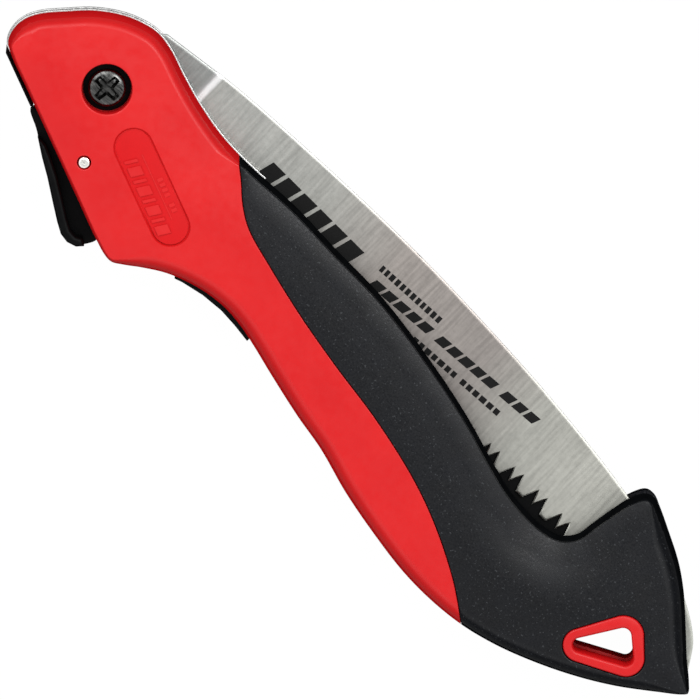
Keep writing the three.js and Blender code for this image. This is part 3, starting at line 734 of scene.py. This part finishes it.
def spacer_shapes():
    flush = inset(handle_outline, 0.25, inset_shares(handle_outline))
    bores = [circle(spot, SHELL_SCREW_BORE, 24) for spot in SHELL_SCREWS]
    finger = slab([flush, resampled(np.array(FINGER))], bores, -FINGER_HALF, FINGER_HALF, 0.2)
    spine = slab([flush, resampled(np.array(SPINE))], bores, -LINER_HIGH, LINER_HIGH, 0.3)
    neck = slab([resampled(np.array(NECK_PAD))], [], -LINER_HIGH, LINER_HIGH, 0.6)
    return [finger, spine, neck]


def guard_shape():
    foot = [(x, y + GUARD_GAP) for x, y in SPINE[1:7]]
    outline = [(50, -15), *foot, (176, -23.5), *GUARD_MOUTH]
    return slab([resampled(np.array(outline))], [], -LINER_HIGH, GUARD_HIGH, 0.1)


def strap_shape():
    def corner(distance, along):
        return polar(along, LEVER_SIDE_ANGLE - 90, polar(distance, LEVER_SIDE_ANGLE))

    end = STRAP_START + STRAP_LENGTH
    points = [
        corner(STRAP_INNER, STRAP_START), corner(STRAP_OUTER - 0.3, STRAP_START),
        corner(STRAP_OUTER, STRAP_START + 0.3), corner(STRAP_OUTER, end - 1.2),
        corner(STRAP_OUTER - 0.4, end - 0.6), corner(STRAP_INNER, end),
    ]
    return slab([resampled(np.array(points), 0.8)], [], -STRAP_HALF, STRAP_HALF, 0.4)


def lever_shapes():
    nose = [
        polar(radius, NOTCH_ANGLE + math.degrees(side * half / radius))
        for side, (radius, half) in ((1, NOSE_ROOT), (1, NOSE_TIP), (-1, NOSE_TIP), (-1, NOSE_ROOT))
    ]
    outside = spline(LEVER_OUTSIDE, closed=False, steps=5)
    web = resampled(np.vstack([outside, LEVER_INSIDE, nose]))
    bore = circle(LEVER_PIN, LEVER_BORE, 40)
    pad = resampled(np.array(PAD), 1.0)
    return [
        slab([web], [bore], -WEB_HALF, WEB_HALF, 0.25),
        slab([circle(LEVER_PIN, LEVER_BOSS)], [bore], -WEB_HALF, WEB_HALF, 0.2),
        slab([pad], [], -PAD_HALF, PAD_HALF, 0.9),
    ]


def cross_head(radius, low, high, dome, arm, width, depth, shank, foot, spot, tilt):
    """A screw with a domed head and a cross recess whose walls slope, turned and put in place."""
    plan = Plan()
    rim = circle((0, 0), radius, 80)
    for share in (0, 0.02, 0.06, 0.14, 0.26, 0.42, 0.62):
        plan.line(rim * (1 - share))
    half, reach = width / 2, arm / 2
    slope = 0.3 * width

    def cross(grow):
        h, r = half + grow, reach + grow
        quarter = np.array([(r, -h * 0.8), (r + 0.15, 0), (r, h * 0.8), (h, h)])
        turns = np.radians([0, 90, 180, 270])
        return np.vstack([
            quarter @ np.array([[math.cos(t), math.sin(t)], [-math.sin(t), math.cos(t)]])
            for t in turns
        ])

    mouth, floor = resampled(cross(0), 0.4), resampled(cross(-slope), 0.4)
    plan.line(mouth)
    plan.line(floor)
    plan.cut()
    out = np.linalg.norm(plan.flat, axis=1) / radius
    top = high - dome * out**2 - fillet_drop((1 - out) * radius, 0.5)
    sunk = distance_to(plan.flat, mouth) * inside(plan.flat, mouth)
    top = top - depth * np.clip(sunk / slope, 0, 1)
    keep = inside(plan.centres, rim)
    region = ["head" if kept else None for kept in keep]
    bottom = np.full(len(plan.flat), low)
    vertices, faces = solid(plan, region, {"head": top}, {"head": bottom})
    shaft = turned([(0, foot), (shank, foot), (shank, low + 0.1), (0, low + 0.1)])
    c, s = math.cos(math.radians(tilt)), math.sin(math.radians(tilt))
    return [
        ([(x * c - y * s + spot[0], x * s + y * c + spot[1], z) for x, y, z in corners], sides)
        for corners, sides in ((vertices, faces), shaft)
    ]


def pivot_screw_shapes():
    return cross_head(
        radius=HEAD_RADIUS, low=6.1, high=SCREW_HIGH, dome=0.8, arm=7.0, width=2.3, depth=1.6,
        shank=2.3, foot=-6, spot=(0, 0), tilt=-3,
    )


def half_screw_shapes(number, spot):
    shapes = cross_head(
        radius=2.8, low=8.2, high=9.9, dome=0.3, arm=3.2, width=0.8, depth=1.0,
        shank=1.3, foot=-5.6, spot=spot, tilt=20 * number,
    )
    return [mirrored(shape) for shape in shapes]


def ring_shape(radius, bore, low, high):
    return slab([circle((0, 0), radius, 72)], [bore], low, high, RING_FILLET)


def barrel_shape():
    flange_top = -WASHER_LOW
    foot = -(SCREW_HIGH - 0.6)
    return turned([
        (0, foot - 0.25), (2.0, foot - 0.2), (3.6, foot), (4.3, foot + 0.35),
        (HEAD_RADIUS, foot + 1.1), (HEAD_RADIUS, flange_top), (BARREL_RADIUS, flange_top),
        (BARREL_RADIUS, RECESS_FLOOR), (SCREW_BORE, RECESS_FLOOR),
        (SCREW_BORE, flange_top - 0.5), (0, flange_top - 0.5),
    ])


def pin_shape():
    end = PIN_HIGH
    return turned([
        (0, -end), (1.0, -end), (1.3, 0.12 - end), (1.45, 0.5 - end), (1.45, end - 0.5),
        (1.3, end - 0.12), (1.0, end), (0.55, end), (0.4, end - 0.3), (0, end - 0.35),
    ], LEVER_PIN, 48)


def tube(path, radius, sides=10):
    """A round wire along a path, closed at its ends."""
    along = np.gradient(path, axis=0)
    along /= np.linalg.norm(along, axis=1)[:, None]
    side = np.cross(along, np.array([0.31, 0.22, 0.92]))  # a direction the path never takes
    side /= np.linalg.norm(side, axis=1)[:, None]
    up = np.cross(along, side)
    vertices, faces = [], []
    for centre, s, u in zip(path, side, up):
        for k in range(sides):
            t = 2 * math.pi * k / sides
            vertices.append(tuple(centre + radius * (s * math.cos(t) + u * math.sin(t))))
    for ring in range(len(path) - 1):
        for k in range(sides):
            a, b = ring * sides + k, ring * sides + (k + 1) % sides
            faces.append([a, b, b + sides, a + sides][::-1])
    last = (len(path) - 1) * sides
    faces.append(list(range(sides)))
    faces.append([last + k for k in range(sides)][::-1])
    return vertices, faces


def spring_shape():
    start, end = np.array([*SPRING_START, 0]), np.array([*SPRING_END, 0])
    length = np.linalg.norm(end - start)
    axis = (end - start) / length
    side = np.array([-axis[1], axis[0], 0])
    up = np.array([0, 0, 1.0])
    t = np.linspace(0, 1, SPRING_TURNS * 20 + 1)[:, None]
    angle = 2 * math.pi * SPRING_TURNS * t
    path = start + axis * (SPRING_WIRE + (length - 2 * SPRING_WIRE) * t)
    path = path + side * np.cos(angle) + up * np.sin(angle)
    return tube(path, SPRING_WIRE)


# ------------------------------------------------------------------ blade

BLADE_BACK = [
    (2.2, 19.3), (12, 20.4), (25, 21.7), (45, 22.5), (70, 22.9), (90, 22.6), (110, 21.5),
    (130, 19.9), (150, 17.5), (165, 15.0), (180, 11.3), (193, 6.6), (203, 0.0), (207.3, -6.2),
]
BLADE_TIP = [(207.8, -7.8), (206.9, -8.9), (205.2, -8.9)]
LAST_GULLET = (183.4, -4.6)
TANG_RADIUS = 15.5
TANG_ANGLES = (88.5, 300)
NOTCH_DEPTH = 2
NOTCH_MOUTH_HALF = 1.9
NOTCH_FLOOR_HALF = 1.5
NOTCH_SPAN = (8, 9)
FIRST_TOOTH_X = 39.6
TOOTH_PAIRS = 17
PAIR_PITCH = 8.4
NARROW_WIDTH = 3.05
NARROW_TIP = 1.3
NARROW_HEIGHT = 3.8
WIDE_TIPS = (1.4, 3.6)
WIDE_HEIGHT = 4.2
GULLET_TOP = 0.7
GULLET_MIDDLE_X = 136
GULLET_BOW = 860
FACET_RUN = 0.3
FACET_DEEP = 0.25
FACET_SHALLOW = 0.15
BACK_CHAMFER = 0.12
TANG_STEP = [(17.2, -20), (17.9, 11.1), (18.6, 24)]
STEP_RUN = 2.2
BODY_HALF = 0.45


def gullet_height(x):
    """The line through the gullets, which bows away from the back."""
    return GULLET_TOP - (x - GULLET_MIDDLE_X) ** 2 / GULLET_BOW


def notch(degrees):
    mouth = math.degrees(NOTCH_MOUTH_HALF / TANG_RADIUS)
    floor_radius = TANG_RADIUS - NOTCH_DEPTH
    floor = math.degrees(NOTCH_FLOOR_HALF / floor_radius)
    return [
        polar(TANG_RADIUS, degrees - mouth), polar(floor_radius, degrees - floor),
        polar(floor_radius, degrees + floor), polar(TANG_RADIUS, degrees + mouth),
    ]


def tang_arc(start, end):
    return [polar(TANG_RADIUS, angle) for angle in np.arange(start, end, 3)]


def teeth():
    """Gullets and tips along the cutting edge: a narrow pointed tooth, then a wide flat one."""
    points = []
    for pair in range(TOOTH_PAIRS):
        x = FIRST_TOOTH_X + pair * PAIR_PITCH
        wide = x + NARROW_WIDTH
        points += [
            (x, gullet_height(x)),
            (x + NARROW_TIP, gullet_height(x + NARROW_TIP) - NARROW_HEIGHT),
            (wide, gullet_height(wide)),
            *((wide + tip, gullet_height(wide + tip) - WIDE_HEIGHT) for tip in WIDE_TIPS),
        ]
    return points


def blade_outline():
    start, end = TANG_ANGLES
    before, after = NOTCH_SPAN
    open_notch = NOTCH_ANGLE - OPEN_ANGLE
    points = [
        *tang_arc(start, open_notch - before), *notch(open_notch),
        *tang_arc(open_notch + after, NOTCH_ANGLE - before), *notch(NOTCH_ANGLE),
        *tang_arc(NOTCH_ANGLE + after, end), polar(TANG_RADIUS, end),
    ]
    points += teeth() + [LAST_GULLET, *BLADE_TIP[::-1]]
    back = [tuple(point) for point in spline(BLADE_BACK, closed=False)[::-1]]
    return points + back + [(1.0, 18.2), (0.6, 16.8)]


def blade_shape():
    outline = resampled(np.array(blade_outline()), 0.9)
    bore = circle((0, 0), BARREL_FIT)
    plan = Plan()
    rows(plan, outline, (0, 0.12, 0.3, 0.8))
    plan.line(bore)
    step_start = np.array(TANG_STEP)
    for offset in (0, STEP_RUN):
        plan.line(step_start + (offset, 0), closed=False)
    plan.dots(grid(outline, 4.0, 1.4))
    plan.cut()
    flat = plan.flat
    keep = inside(plan.centres, outline) & ~inside(plan.centres, bore)
    region = ["blade" if kept else None for kept in keep]
    line_x = np.interp(flat[:, 1], [p[1] for p in TANG_STEP], [p[0] for p in TANG_STEP])
    past_step = np.clip((flat[:, 0] - line_x) / STEP_RUN, 0, 1)
    half = BLADE_HALF - (BLADE_HALF - BODY_HALF) * past_step
    toothed = (flat[:, 0] > FIRST_TOOTH_X) & (flat[:, 1] < gullet_height(flat[:, 0]) + 0.6)
    phase = (flat[:, 0] - FIRST_TOOTH_X) % PAIR_PITCH
    narrow = phase < NARROW_WIDTH
    facet = 1 - np.clip(distance_to(flat, outline) / FACET_RUN, 0, 1)
    front_cut = np.where(narrow, FACET_DEEP, FACET_SHALLOW) * facet * toothed
    back_cut = np.where(narrow, FACET_SHALLOW, FACET_DEEP) * facet * toothed
    chamfer = BACK_CHAMFER * facet * ~toothed
    top = {"blade": half - chamfer - front_cut}
    bottom = {"blade": -(half - chamfer - back_cut)}
    return solid(plan, region, top, bottom)


def bar_row(start, tilt, height, widths, gap, slant, level, thickness):
    """A row of slanted bars standing on a surface. A negative width is a space."""
    turn = math.radians(tilt)
    shapes, x = [], 0.0
    for width in widths:
        if width < 0:
            x -= width
            continue
        corners = np.array([
            (x, 0), (x + width, 0), (x + width + slant * height, height),
            (x + slant * height, height),
        ])
        flat = np.stack([
            start[0] + corners[:, 0] * math.cos(turn) - corners[:, 1] * math.sin(turn),
            start[1] + corners[:, 0] * math.sin(turn) + corners[:, 1] * math.cos(turn),
        ], axis=1)
        low = [(*spot, level - 0.3 * thickness) for spot in flat]
        high = [(*spot, level + thickness) for spot in flat]
        sides = [[k, (k + 1) % 4, 4 + (k + 1) % 4, 4 + k] for k in range(4)]
        shapes.append((low + high, [[3, 2, 1, 0], [4, 5, 6, 7], *sides]))
        x += width + gap
    return shapes


# ------------------------------------------------------------------ materials

def shader(name, colour, roughness, metallic=0.0, specular=0.5):
    material = bpy.data.materials.new(name)
    material.use_nodes = True
    surface = material.node_tree.nodes["Principled BSDF"]
    surface.inputs["Base Color"].default_value = (*colour, 1)
    surface.inputs["Roughness"].default_value = roughness
    surface.inputs["Metallic"].default_value = metallic
    surface.inputs["Specular IOR Level"].default_value = specular
    return material, surface


def noise(material, scale, stretch=(1, 1, 1), detail=3.0, turn=0.0):
    """Noise in the object's own space; scale is in cells per metre."""
    nodes, links = material.node_tree.nodes, material.node_tree.links
    place = nodes.new("ShaderNodeTexCoord")
    mapping = nodes.new("ShaderNodeMapping")
    mapping.inputs["Scale"].default_value = stretch
    mapping.inputs["Rotation"].default_value = (0, 0, turn)
    texture = nodes.new("ShaderNodeTexNoise")
    texture.inputs["Scale"].default_value = scale
    texture.inputs["Detail"].default_value = detail
    links.new(place.outputs["Object"], mapping.inputs["Vector"])
    links.new(mapping.outputs["Vector"], texture.inputs["Vector"])
    return texture.outputs["Fac"]


def ramp(owner, source, stops):
    """Colours or greys along a source value, in a material or a world."""
    node = owner.node_tree.nodes.new("ShaderNodeValToRGB")
    elements = node.color_ramp.elements
    while len(elements) < len(stops):
        elements.new(0.5)
    for element, (place, colour) in zip(elements, stops):
        element.position = place
        grey = isinstance(colour, (int, float))
        element.color = (colour, colour, colour, 1) if grey else (*colour, 1)
    owner.node_tree.links.new(source, node.inputs["Fac"])
    return node.outputs["Color"]


def combined(material, kind, first, second):
    """Two colours under one blend type, such as ADD or MULTIPLY."""
    node = material.node_tree.nodes.new("ShaderNodeMix")
    node.data_type = "RGBA"
    node.blend_type = kind
    node.inputs["Factor"].default_value = 1.0
    material.node_tree.links.new(first, node.inputs["A"])
    material.node_tree.links.new(second, node.inputs["B"])
    return node.outputs["Result"]


def bump(material, surface, sources):
    """Stacks bumps: (height, strength, depth in millimetres) each."""
    nodes, links = material.node_tree.nodes, material.node_tree.links
    normal = None
    for height, strength, depth in sources:
        node = nodes.new("ShaderNodeBump")
        node.inputs["Strength"].default_value = strength
        node.inputs["Distance"].default_value = depth * MM
        links.new(height, node.inputs["Height"])
        if normal is not None:
            links.new(normal, node.inputs["Normal"])
        normal = node.outputs["Normal"]
    links.new(normal, surface.inputs["Normal"])


def link(material, output, surface, socket):
    material.node_tree.links.new(output, surface.inputs[socket])


def red_plastic():
    material, surface = shader("red_plastic", (0.6, 0.01, 0.012), 0.36, specular=0.3)
    cloud = noise(material, 45, detail=4)
    shades = [(0.3, (0.57, 0.008, 0.010)), (0.7, (0.63, 0.012, 0.013))]
    link(material, ramp(material, cloud, shades), surface, "Base Color")
    grain = noise(material, 2600, detail=2)
    gloss = ramp(material, noise(material, 500), [(0.3, 0.30), (0.7, 0.44)])
    link(material, gloss, surface, "Roughness")
    swell = noise(material, 220, detail=1)
    bump(material, surface, [(swell, 0.12, 0.12), (grain, 0.10, 0.04)])
    return material


def rubber():
    material, surface = shader("black_rubber", (0.003, 0.004, 0.006), 0.5, specular=0.3)
    cloud = noise(material, 160, detail=5)
    shades = [(0.3, (0.0006, 0.001, 0.0022)), (0.7, (0.0015, 0.0022, 0.0042))]
    dust = ramp(material, noise(material, 1900, detail=1),
                [(0.66, (0, 0, 0)), (0.74, (0.03, 0.032, 0.034))])
    tone = combined(material, "ADD", ramp(material, cloud, shades), dust)
    link(material, tone, surface, "Base Color")
    speckle = noise(material, 2400, detail=2)
    gloss = ramp(material, speckle, [(0.35, 0.32), (0.65, 0.50)])
    link(material, gloss, surface, "Roughness")
    bump(material, surface, [(noise(material, 700, detail=2), 0.15, 0.08), (speckle, 0.3, 0.05)])
    return material


def plastic(name, colour, roughness, specular=0.2, spread=1.7):
    material, surface = shader(name, colour, roughness, specular=specular)
    cloud = noise(material, 300, detail=4)
    light = tuple(channel * spread for channel in colour)
    link(material, ramp(material, cloud, [(0.35, colour), (0.7, light)]), surface, "Base Color")
    grain = noise(material, 1800, detail=3)
    gloss = ramp(material, grain, [(0.3, roughness - 0.08), (0.7, roughness + 0.1)])
    link(material, gloss, surface, "Roughness")
    bump(material, surface, [(grain, 0.2, 0.04)])
    return material


def bright_steel(name, dark, light, roughness):
    material, surface = shader(name, dark, roughness, metallic=1.0)
    streaks = noise(material, 300, (1, 8, 8), detail=4)
    link(material, ramp(material, streaks, [(0.3, dark), (0.7, light)]), surface, "Base Color")
    fine = noise(material, 1500, detail=3)
    gloss = ramp(material, fine, [(0.3, roughness - 0.08), (0.7, roughness + 0.12)])
    link(material, gloss, surface, "Roughness")
    bump(material, surface, [(streaks, 0.08, 0.03)])
    return material


def blade_steel():
    """Ground steel whose tone changes along the blade, with a painted highlight band past the tang
    where the grind step's slope catches the light.
    """
    material, surface = shader("ground_steel", (0.5, 0.5, 0.48), 0.36, metallic=1.0)
    nodes, links = material.node_tree.nodes, material.node_tree.links
    place = nodes.new("ShaderNodeTexCoord")
    split = nodes.new("ShaderNodeSeparateXYZ")
    links.new(place.outputs["Object"], split.inputs["Vector"])
    along = nodes.new("ShaderNodeMapRange")
    along.inputs["From Min"].default_value = PIVOT.x
    along.inputs["From Max"].default_value = PIVOT.x + 0.2
    links.new(split.outputs["X"], along.inputs["Value"])
    # Painted light at the grind step: the white stop paints the highlight on the step's slope, and
    # the dark stops paint thin lines of shade at its two creases.
    tang, dark, painted_highlight = (0.33, 0.34, 0.33), (0.08, 0.08, 0.08), (1.0, 1.0, 1.0)
    tones = ramp(material, along.outputs["Result"], [
        (0.0, tang), (0.0875, tang), (0.088, dark), (0.0896, dark), (0.0902, painted_highlight),
        (0.0980, painted_highlight), (0.0986, dark), (0.1004, dark), (0.1010, (0.47, 0.475, 0.45)),
        (0.3, (0.47, 0.47, 0.44)), (0.42, (0.41, 0.375, 0.35)), (0.58, (0.37, 0.34, 0.32)),
        (0.68, (0.48, 0.48, 0.44)), (0.8, (0.56, 0.56, 0.51)), (1.0, (0.55, 0.56, 0.51)),
    ])
    marks = noise(material, 420, (3.2, 0.22, 1), detail=5, turn=0.08)
    grey = ramp(material, marks, [(0.28, 0.91), (0.5, 1.0), (0.72, 1.07)])
    spots = noise(material, 900, detail=4)
    worn = ramp(material, spots, [(0.25, 0.9), (0.5, 1.0), (0.75, 1.05)])
    marked = combined(material, "MULTIPLY", tones, grey)
    link(material, combined(material, "MULTIPLY", marked, worn), surface, "Base Color")
    gloss = ramp(material, marks, [(0.3, 0.36), (0.7, 0.42)])
    link(material, gloss, surface, "Roughness")
    bump(material, surface, [(marks, 0.06, 0.03), (spots, 0.05, 0.02)])
    return material


RED = red_plastic()
RUBBER = rubber()
BLACK = plastic("black_plastic", (0.0012, 0.0013, 0.0015), 0.42, 0.08)
INK = plastic("black_ink", (0.0015, 0.0015, 0.0015), 0.6)
# Painted shade: matte copies of the rubber and the red plastic with no reflection, put on the steep
# walls so that they stay dark as if in shade.
RUBBER_WALL_SHADE = plastic("black_rubber_wall_shade", (0.003, 0.0033, 0.0038), 0.9, specular=0.0)
RED_WALL_SHADE = plastic("red_plastic_wall_shade", (0.57, 0.009, 0.011), 0.9, 0.0, 1.08)
RED_FLOOR = plastic("red_plastic_floor", (0.55, 0.006, 0.008), 0.5, 0.15, 1.06)
BLADE = blade_steel()
LINER = bright_steel("liner_steel", (0.50, 0.50, 0.50), (0.72, 0.72, 0.71), 0.3)
PIN = bright_steel("pin_steel", (0.80, 0.80, 0.76), (0.95, 0.95, 0.92), 0.3)
SCREW = bright_steel("black_screw", (0.012, 0.0125, 0.013), (0.14, 0.14, 0.135), 0.20)


# ------------------------------------------------------------------ assembly

def build():
    for side, is_front in (("front", True), ("back", False)):
        red, black = handle_half(is_front)
        add_piece(f"red_shell_{side}", red, "handle", RED, [f"shell_{side}"],
                  wall=RED_WALL_SHADE)
        add_piece(f"rubber_grip_{side}", black, "handle", RUBBER, [f"grip_{side}"],
                  wall=RUBBER_WALL_SHADE)
        for name, plate, node in (
            ("liner_plate", liner_shape(), "liner"),
            ("thrust_ring", ring_shape(THRUST_RING_RADIUS, circle((0, 0), BARREL_FIT),
                                       *THRUST_RING_LEVELS), "blade_washer"),
        ):
            plate = plate if is_front else mirrored(plate)
            add_piece(f"{name}_{side}", [plate], "handle", LINER, [f"{node}_{side}"])
    screw_ring = ring_shape(SCREW_RING_RADIUS, circle((0, 0), SCREW_BORE, 48),
                            WASHER_LOW, WASHER_HIGH)
    for name, shapes, material, node, slot in (
        ("spine_filler", spacer_shapes(), BLACK, "spine_spacer", "black_plastic"),
        ("tooth_guard", [guard_shape()], BLACK, "blade_guard", "black_plastic"),
        ("blade_rest", [strap_shape()], BLACK, "head_strap", "black_plastic"),
        ("barrel_nut", [barrel_shape()], SCREW, "pivot_barrel", "black_screw"),
        # The washer is black; it takes the matte black plastic instead of the screw's black metal,
        # which also paints the recess round the head dark as shade.
        ("screw_ring", [screw_ring], BLACK, "pivot_washer", "black_screw"),
        ("cross_screw", pivot_screw_shapes(), SCREW, "pivot_screw", "black_screw"),
        ("lever_axle", [pin_shape()], PIN, "lever_pin", "liner_steel"),
    ):
        add_piece(name, shapes, "handle", material, [node])
    for number, spot in enumerate(SHELL_SCREWS, 1):
        add_piece(f"half_screw_{number}", half_screw_shapes(number, spot), "handle", SCREW,
                  [f"shell_screw_{number}"])
    add_piece("saw_blade", [blade_shape()], "blade", BLADE, ["blade"], 25)
    add_piece("thumb_lever", lever_shapes(), "lever", BLACK, ["lock_lever"])


def build_spring():
    spring = add_piece("coil_spring", [spring_shape()], None, LINER, ["lever_spring"],
                       60)
    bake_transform(spring)


# Rows of plain bars on the blade: start, tilt, height, bars in each group, narrowest and widest
# bar, space after a group, gap between bars, slant.
PRINTED_ROWS = [
    ((42.3, 9.4), -1.4, 5.1, [6], 4.3, 4.9, 0, 1.0, 0.25),
    ((81.5, 12.9), 1.6, 1.75, [12], 1.0, 1.35, 0, 0.55, 0.0),
    ((82, 8.5), 3.1, 2.35, [5, 5, 3], 2.9, 3.4, 1.9, 0.75, 0.45),
    ((92, 5.3), 2.3, 1.55, [3, 7, 6], 1.3, 1.9, 1.2, 0.6, 0.0),
]
PRINT_THICKNESS = 0.02


def bar_widths(draw, groups, narrow, wide, space):
    """Widths of a row of bars in groups, with a space after each group."""
    widths = []
    for bars in groups:
        widths += [float(draw.uniform(narrow, wide)) for _ in range(bars)]
        widths.append(-space)
    return widths


def build_marks():
    """The rows of bars printed on the blade and the raised bars in the badge."""
    draw = np.random.default_rng(11)
    printed = []
    for start, tilt, height, groups, narrow, wide, space, gap, slant in PRINTED_ROWS:
        widths = bar_widths(draw, groups, narrow, wide, space)
        printed += bar_row(start, tilt, height, widths, gap, slant, BODY_HALF, PRINT_THICKNESS)
    add_piece("blade_print", printed, "blade", INK)

    floor_level = SHELL_HIGH - PANEL_DEPTH
    base = stadium(PANEL_CENTRE, PANEL_LENGTH - 1, PANEL_WIDTH - 1, PANEL_TILT)
    add_piece("panel_floor", [slab([base], [], floor_level - 0.6, floor_level, 0.1)],
              "handle", RED_FLOOR)

    raised = []
    for along, across, height, widths, gap, slant, thickness in (
        (12.4, -0.4, 3.3, [2.4, 0.8] * 4, 1.1, 0.2, 0.4),
        (9.5, 1.3, 0.3, [18], 0, 0, 0.15),
        (8.0, 3.4, 1.5, [0.9, 0.9, -1.4, 0.9, 0.9, 0.9, 0.9], 0.5, 0, 0.18),
    ):
        start = polar(along, PANEL_TILT, polar(across, PANEL_TILT + 90, PANEL_CENTRE))
        raised += bar_row(start, PANEL_TILT + 180, height, widths, gap, slant, floor_level,
                          thickness)
    add_piece("panel_ribs", raised, "handle", RED, wall=RED_WALL_SHADE)


build()
build_spring()
build_marks()


# ------------------------------------------------------------------ floor, light and camera

VIEW_TURN = math.radians(43.8)
VIEW_TILT = math.radians(8.4)
VIEW_CENTRE = PIVOT + MM * Vector((90.3, -6.6, 0))
VIEW_WIDTH = 0.175
CAMERA_DISTANCE = 8.0
CAMERA_RANGE = (0.1, 20)
WORLD_STRENGTH = 0.95
FLOOR_HALF = 3.0
FLOOR_GLOW = 1.1
FLOOR_GLOW_SHARE = 0.9


def add_floor():
    """A grey floor that glows for camera rays only: pale in the picture, dim to the saw."""
    mesh = bpy.data.meshes.new("floor")
    size = FLOOR_HALF
    corners = [(-size, -size, 0), (size, -size, 0), (size, size, 0), (-size, size, 0)]
    mesh.from_pydata(corners, [], [(0, 1, 2, 3)])
    material, surface = shader("white_paper", (0.12, 0.12, 0.12), 0.9, specular=0.1)
    cloud = noise(material, 3)
    tones = ramp(material, cloud, [(0.3, (0.12, 0.12, 0.12)), (0.7, (0.14, 0.14, 0.14))])
    link(material, tones, surface, "Base Color")
    nodes, links = material.node_tree.nodes, material.node_tree.links
    glow = nodes.new("ShaderNodeEmission")
    glow.inputs["Strength"].default_value = FLOOR_GLOW
    path = nodes.new("ShaderNodeLightPath")
    share = nodes.new("ShaderNodeMath")
    share.operation = "MULTIPLY"
    share.inputs[1].default_value = FLOOR_GLOW_SHARE
    links.new(path.outputs["Is Camera Ray"], share.inputs[0])
    blend = nodes.new("ShaderNodeMixShader")
    links.new(share.outputs["Value"], blend.inputs["Fac"])
    links.new(surface.outputs["BSDF"], blend.inputs[1])
    links.new(glow.outputs["Emission"], blend.inputs[2])
    links.new(blend.outputs["Shader"], nodes["Material Output"].inputs["Surface"])
    mesh.materials.append(material)
    floor = bpy.data.objects.new("floor", mesh)
    bpy.context.scene.collection.objects.link(floor)


def add_light(name, direction, distance, size, power):
    light = bpy.data.lights.new(name, "AREA")
    light.size = size
    light.energy = power
    lamp = bpy.data.objects.new(name, light)
    towards = Vector(direction).normalized()
    lamp.location = VIEW_CENTRE + towards * distance
    lamp.rotation_mode = "QUATERNION"
    lamp.rotation_quaternion = (-towards).to_track_quat("-Z", "Y")
    bpy.context.scene.collection.objects.link(lamp)


def add_world():
    """Studio light by height: dim near the horizon, brightest about 45 degrees up."""
    world = bpy.data.worlds.new("studio")
    world.use_nodes = True
    nodes, links = world.node_tree.nodes, world.node_tree.links
    place = nodes.new("ShaderNodeTexCoord")
    split = nodes.new("ShaderNodeSeparateXYZ")
    links.new(place.outputs["Generated"], split.inputs["Vector"])
    stops = [(0.0, 0.04), (0.25, 0.10), (0.5, 1.0), (0.72, 1.45), (0.9, 0.75), (1.0, 0.4)]
    links.new(ramp(world, split.outputs["Z"], stops), nodes["Background"].inputs["Color"])
    nodes["Background"].inputs["Strength"].default_value = WORLD_STRENGTH
    bpy.context.scene.world = world


def add_camera():
    right = Vector((math.cos(VIEW_TURN), math.sin(VIEW_TURN), 0))
    up = Vector((-math.sin(VIEW_TURN), math.cos(VIEW_TURN), 0))
    back = Vector((0, 0, math.cos(VIEW_TILT))) + up * math.sin(VIEW_TILT)
    data = bpy.data.cameras.new("camera")
    data.sensor_width = 36
    data.lens = data.sensor_width * CAMERA_DISTANCE / VIEW_WIDTH
    data.clip_start, data.clip_end = CAMERA_RANGE
    camera = bpy.data.objects.new("camera", data)
    camera.location = VIEW_CENTRE + back * CAMERA_DISTANCE
    top = back.cross(right)
    camera.rotation_mode = "QUATERNION"
    camera.rotation_quaternion = Matrix((right, top, back)).transposed().to_quaternion()
    bpy.context.scene.collection.objects.link(camera)
    bpy.context.scene.camera = camera


add_floor()
add_world()
up_left = Vector((-math.sin(VIEW_TURN), math.cos(VIEW_TURN), 0))
left = Vector((-math.cos(VIEW_TURN), -math.sin(VIEW_TURN), 0))
from_key = up_left * 0.8 + left * 0.5 + Vector((0, 0, 1.1))
from_rim = up_left * 0.7 - left * 0.8 + Vector((0, 0, 2.0))
add_light("key", from_key, distance=1.2, size=0.7, power=5.0)
add_light("rim", from_rim, distance=1.2, size=0.4, power=4.5)
add_camera()
bpy.context.scene.view_settings.view_transform = "Standard"
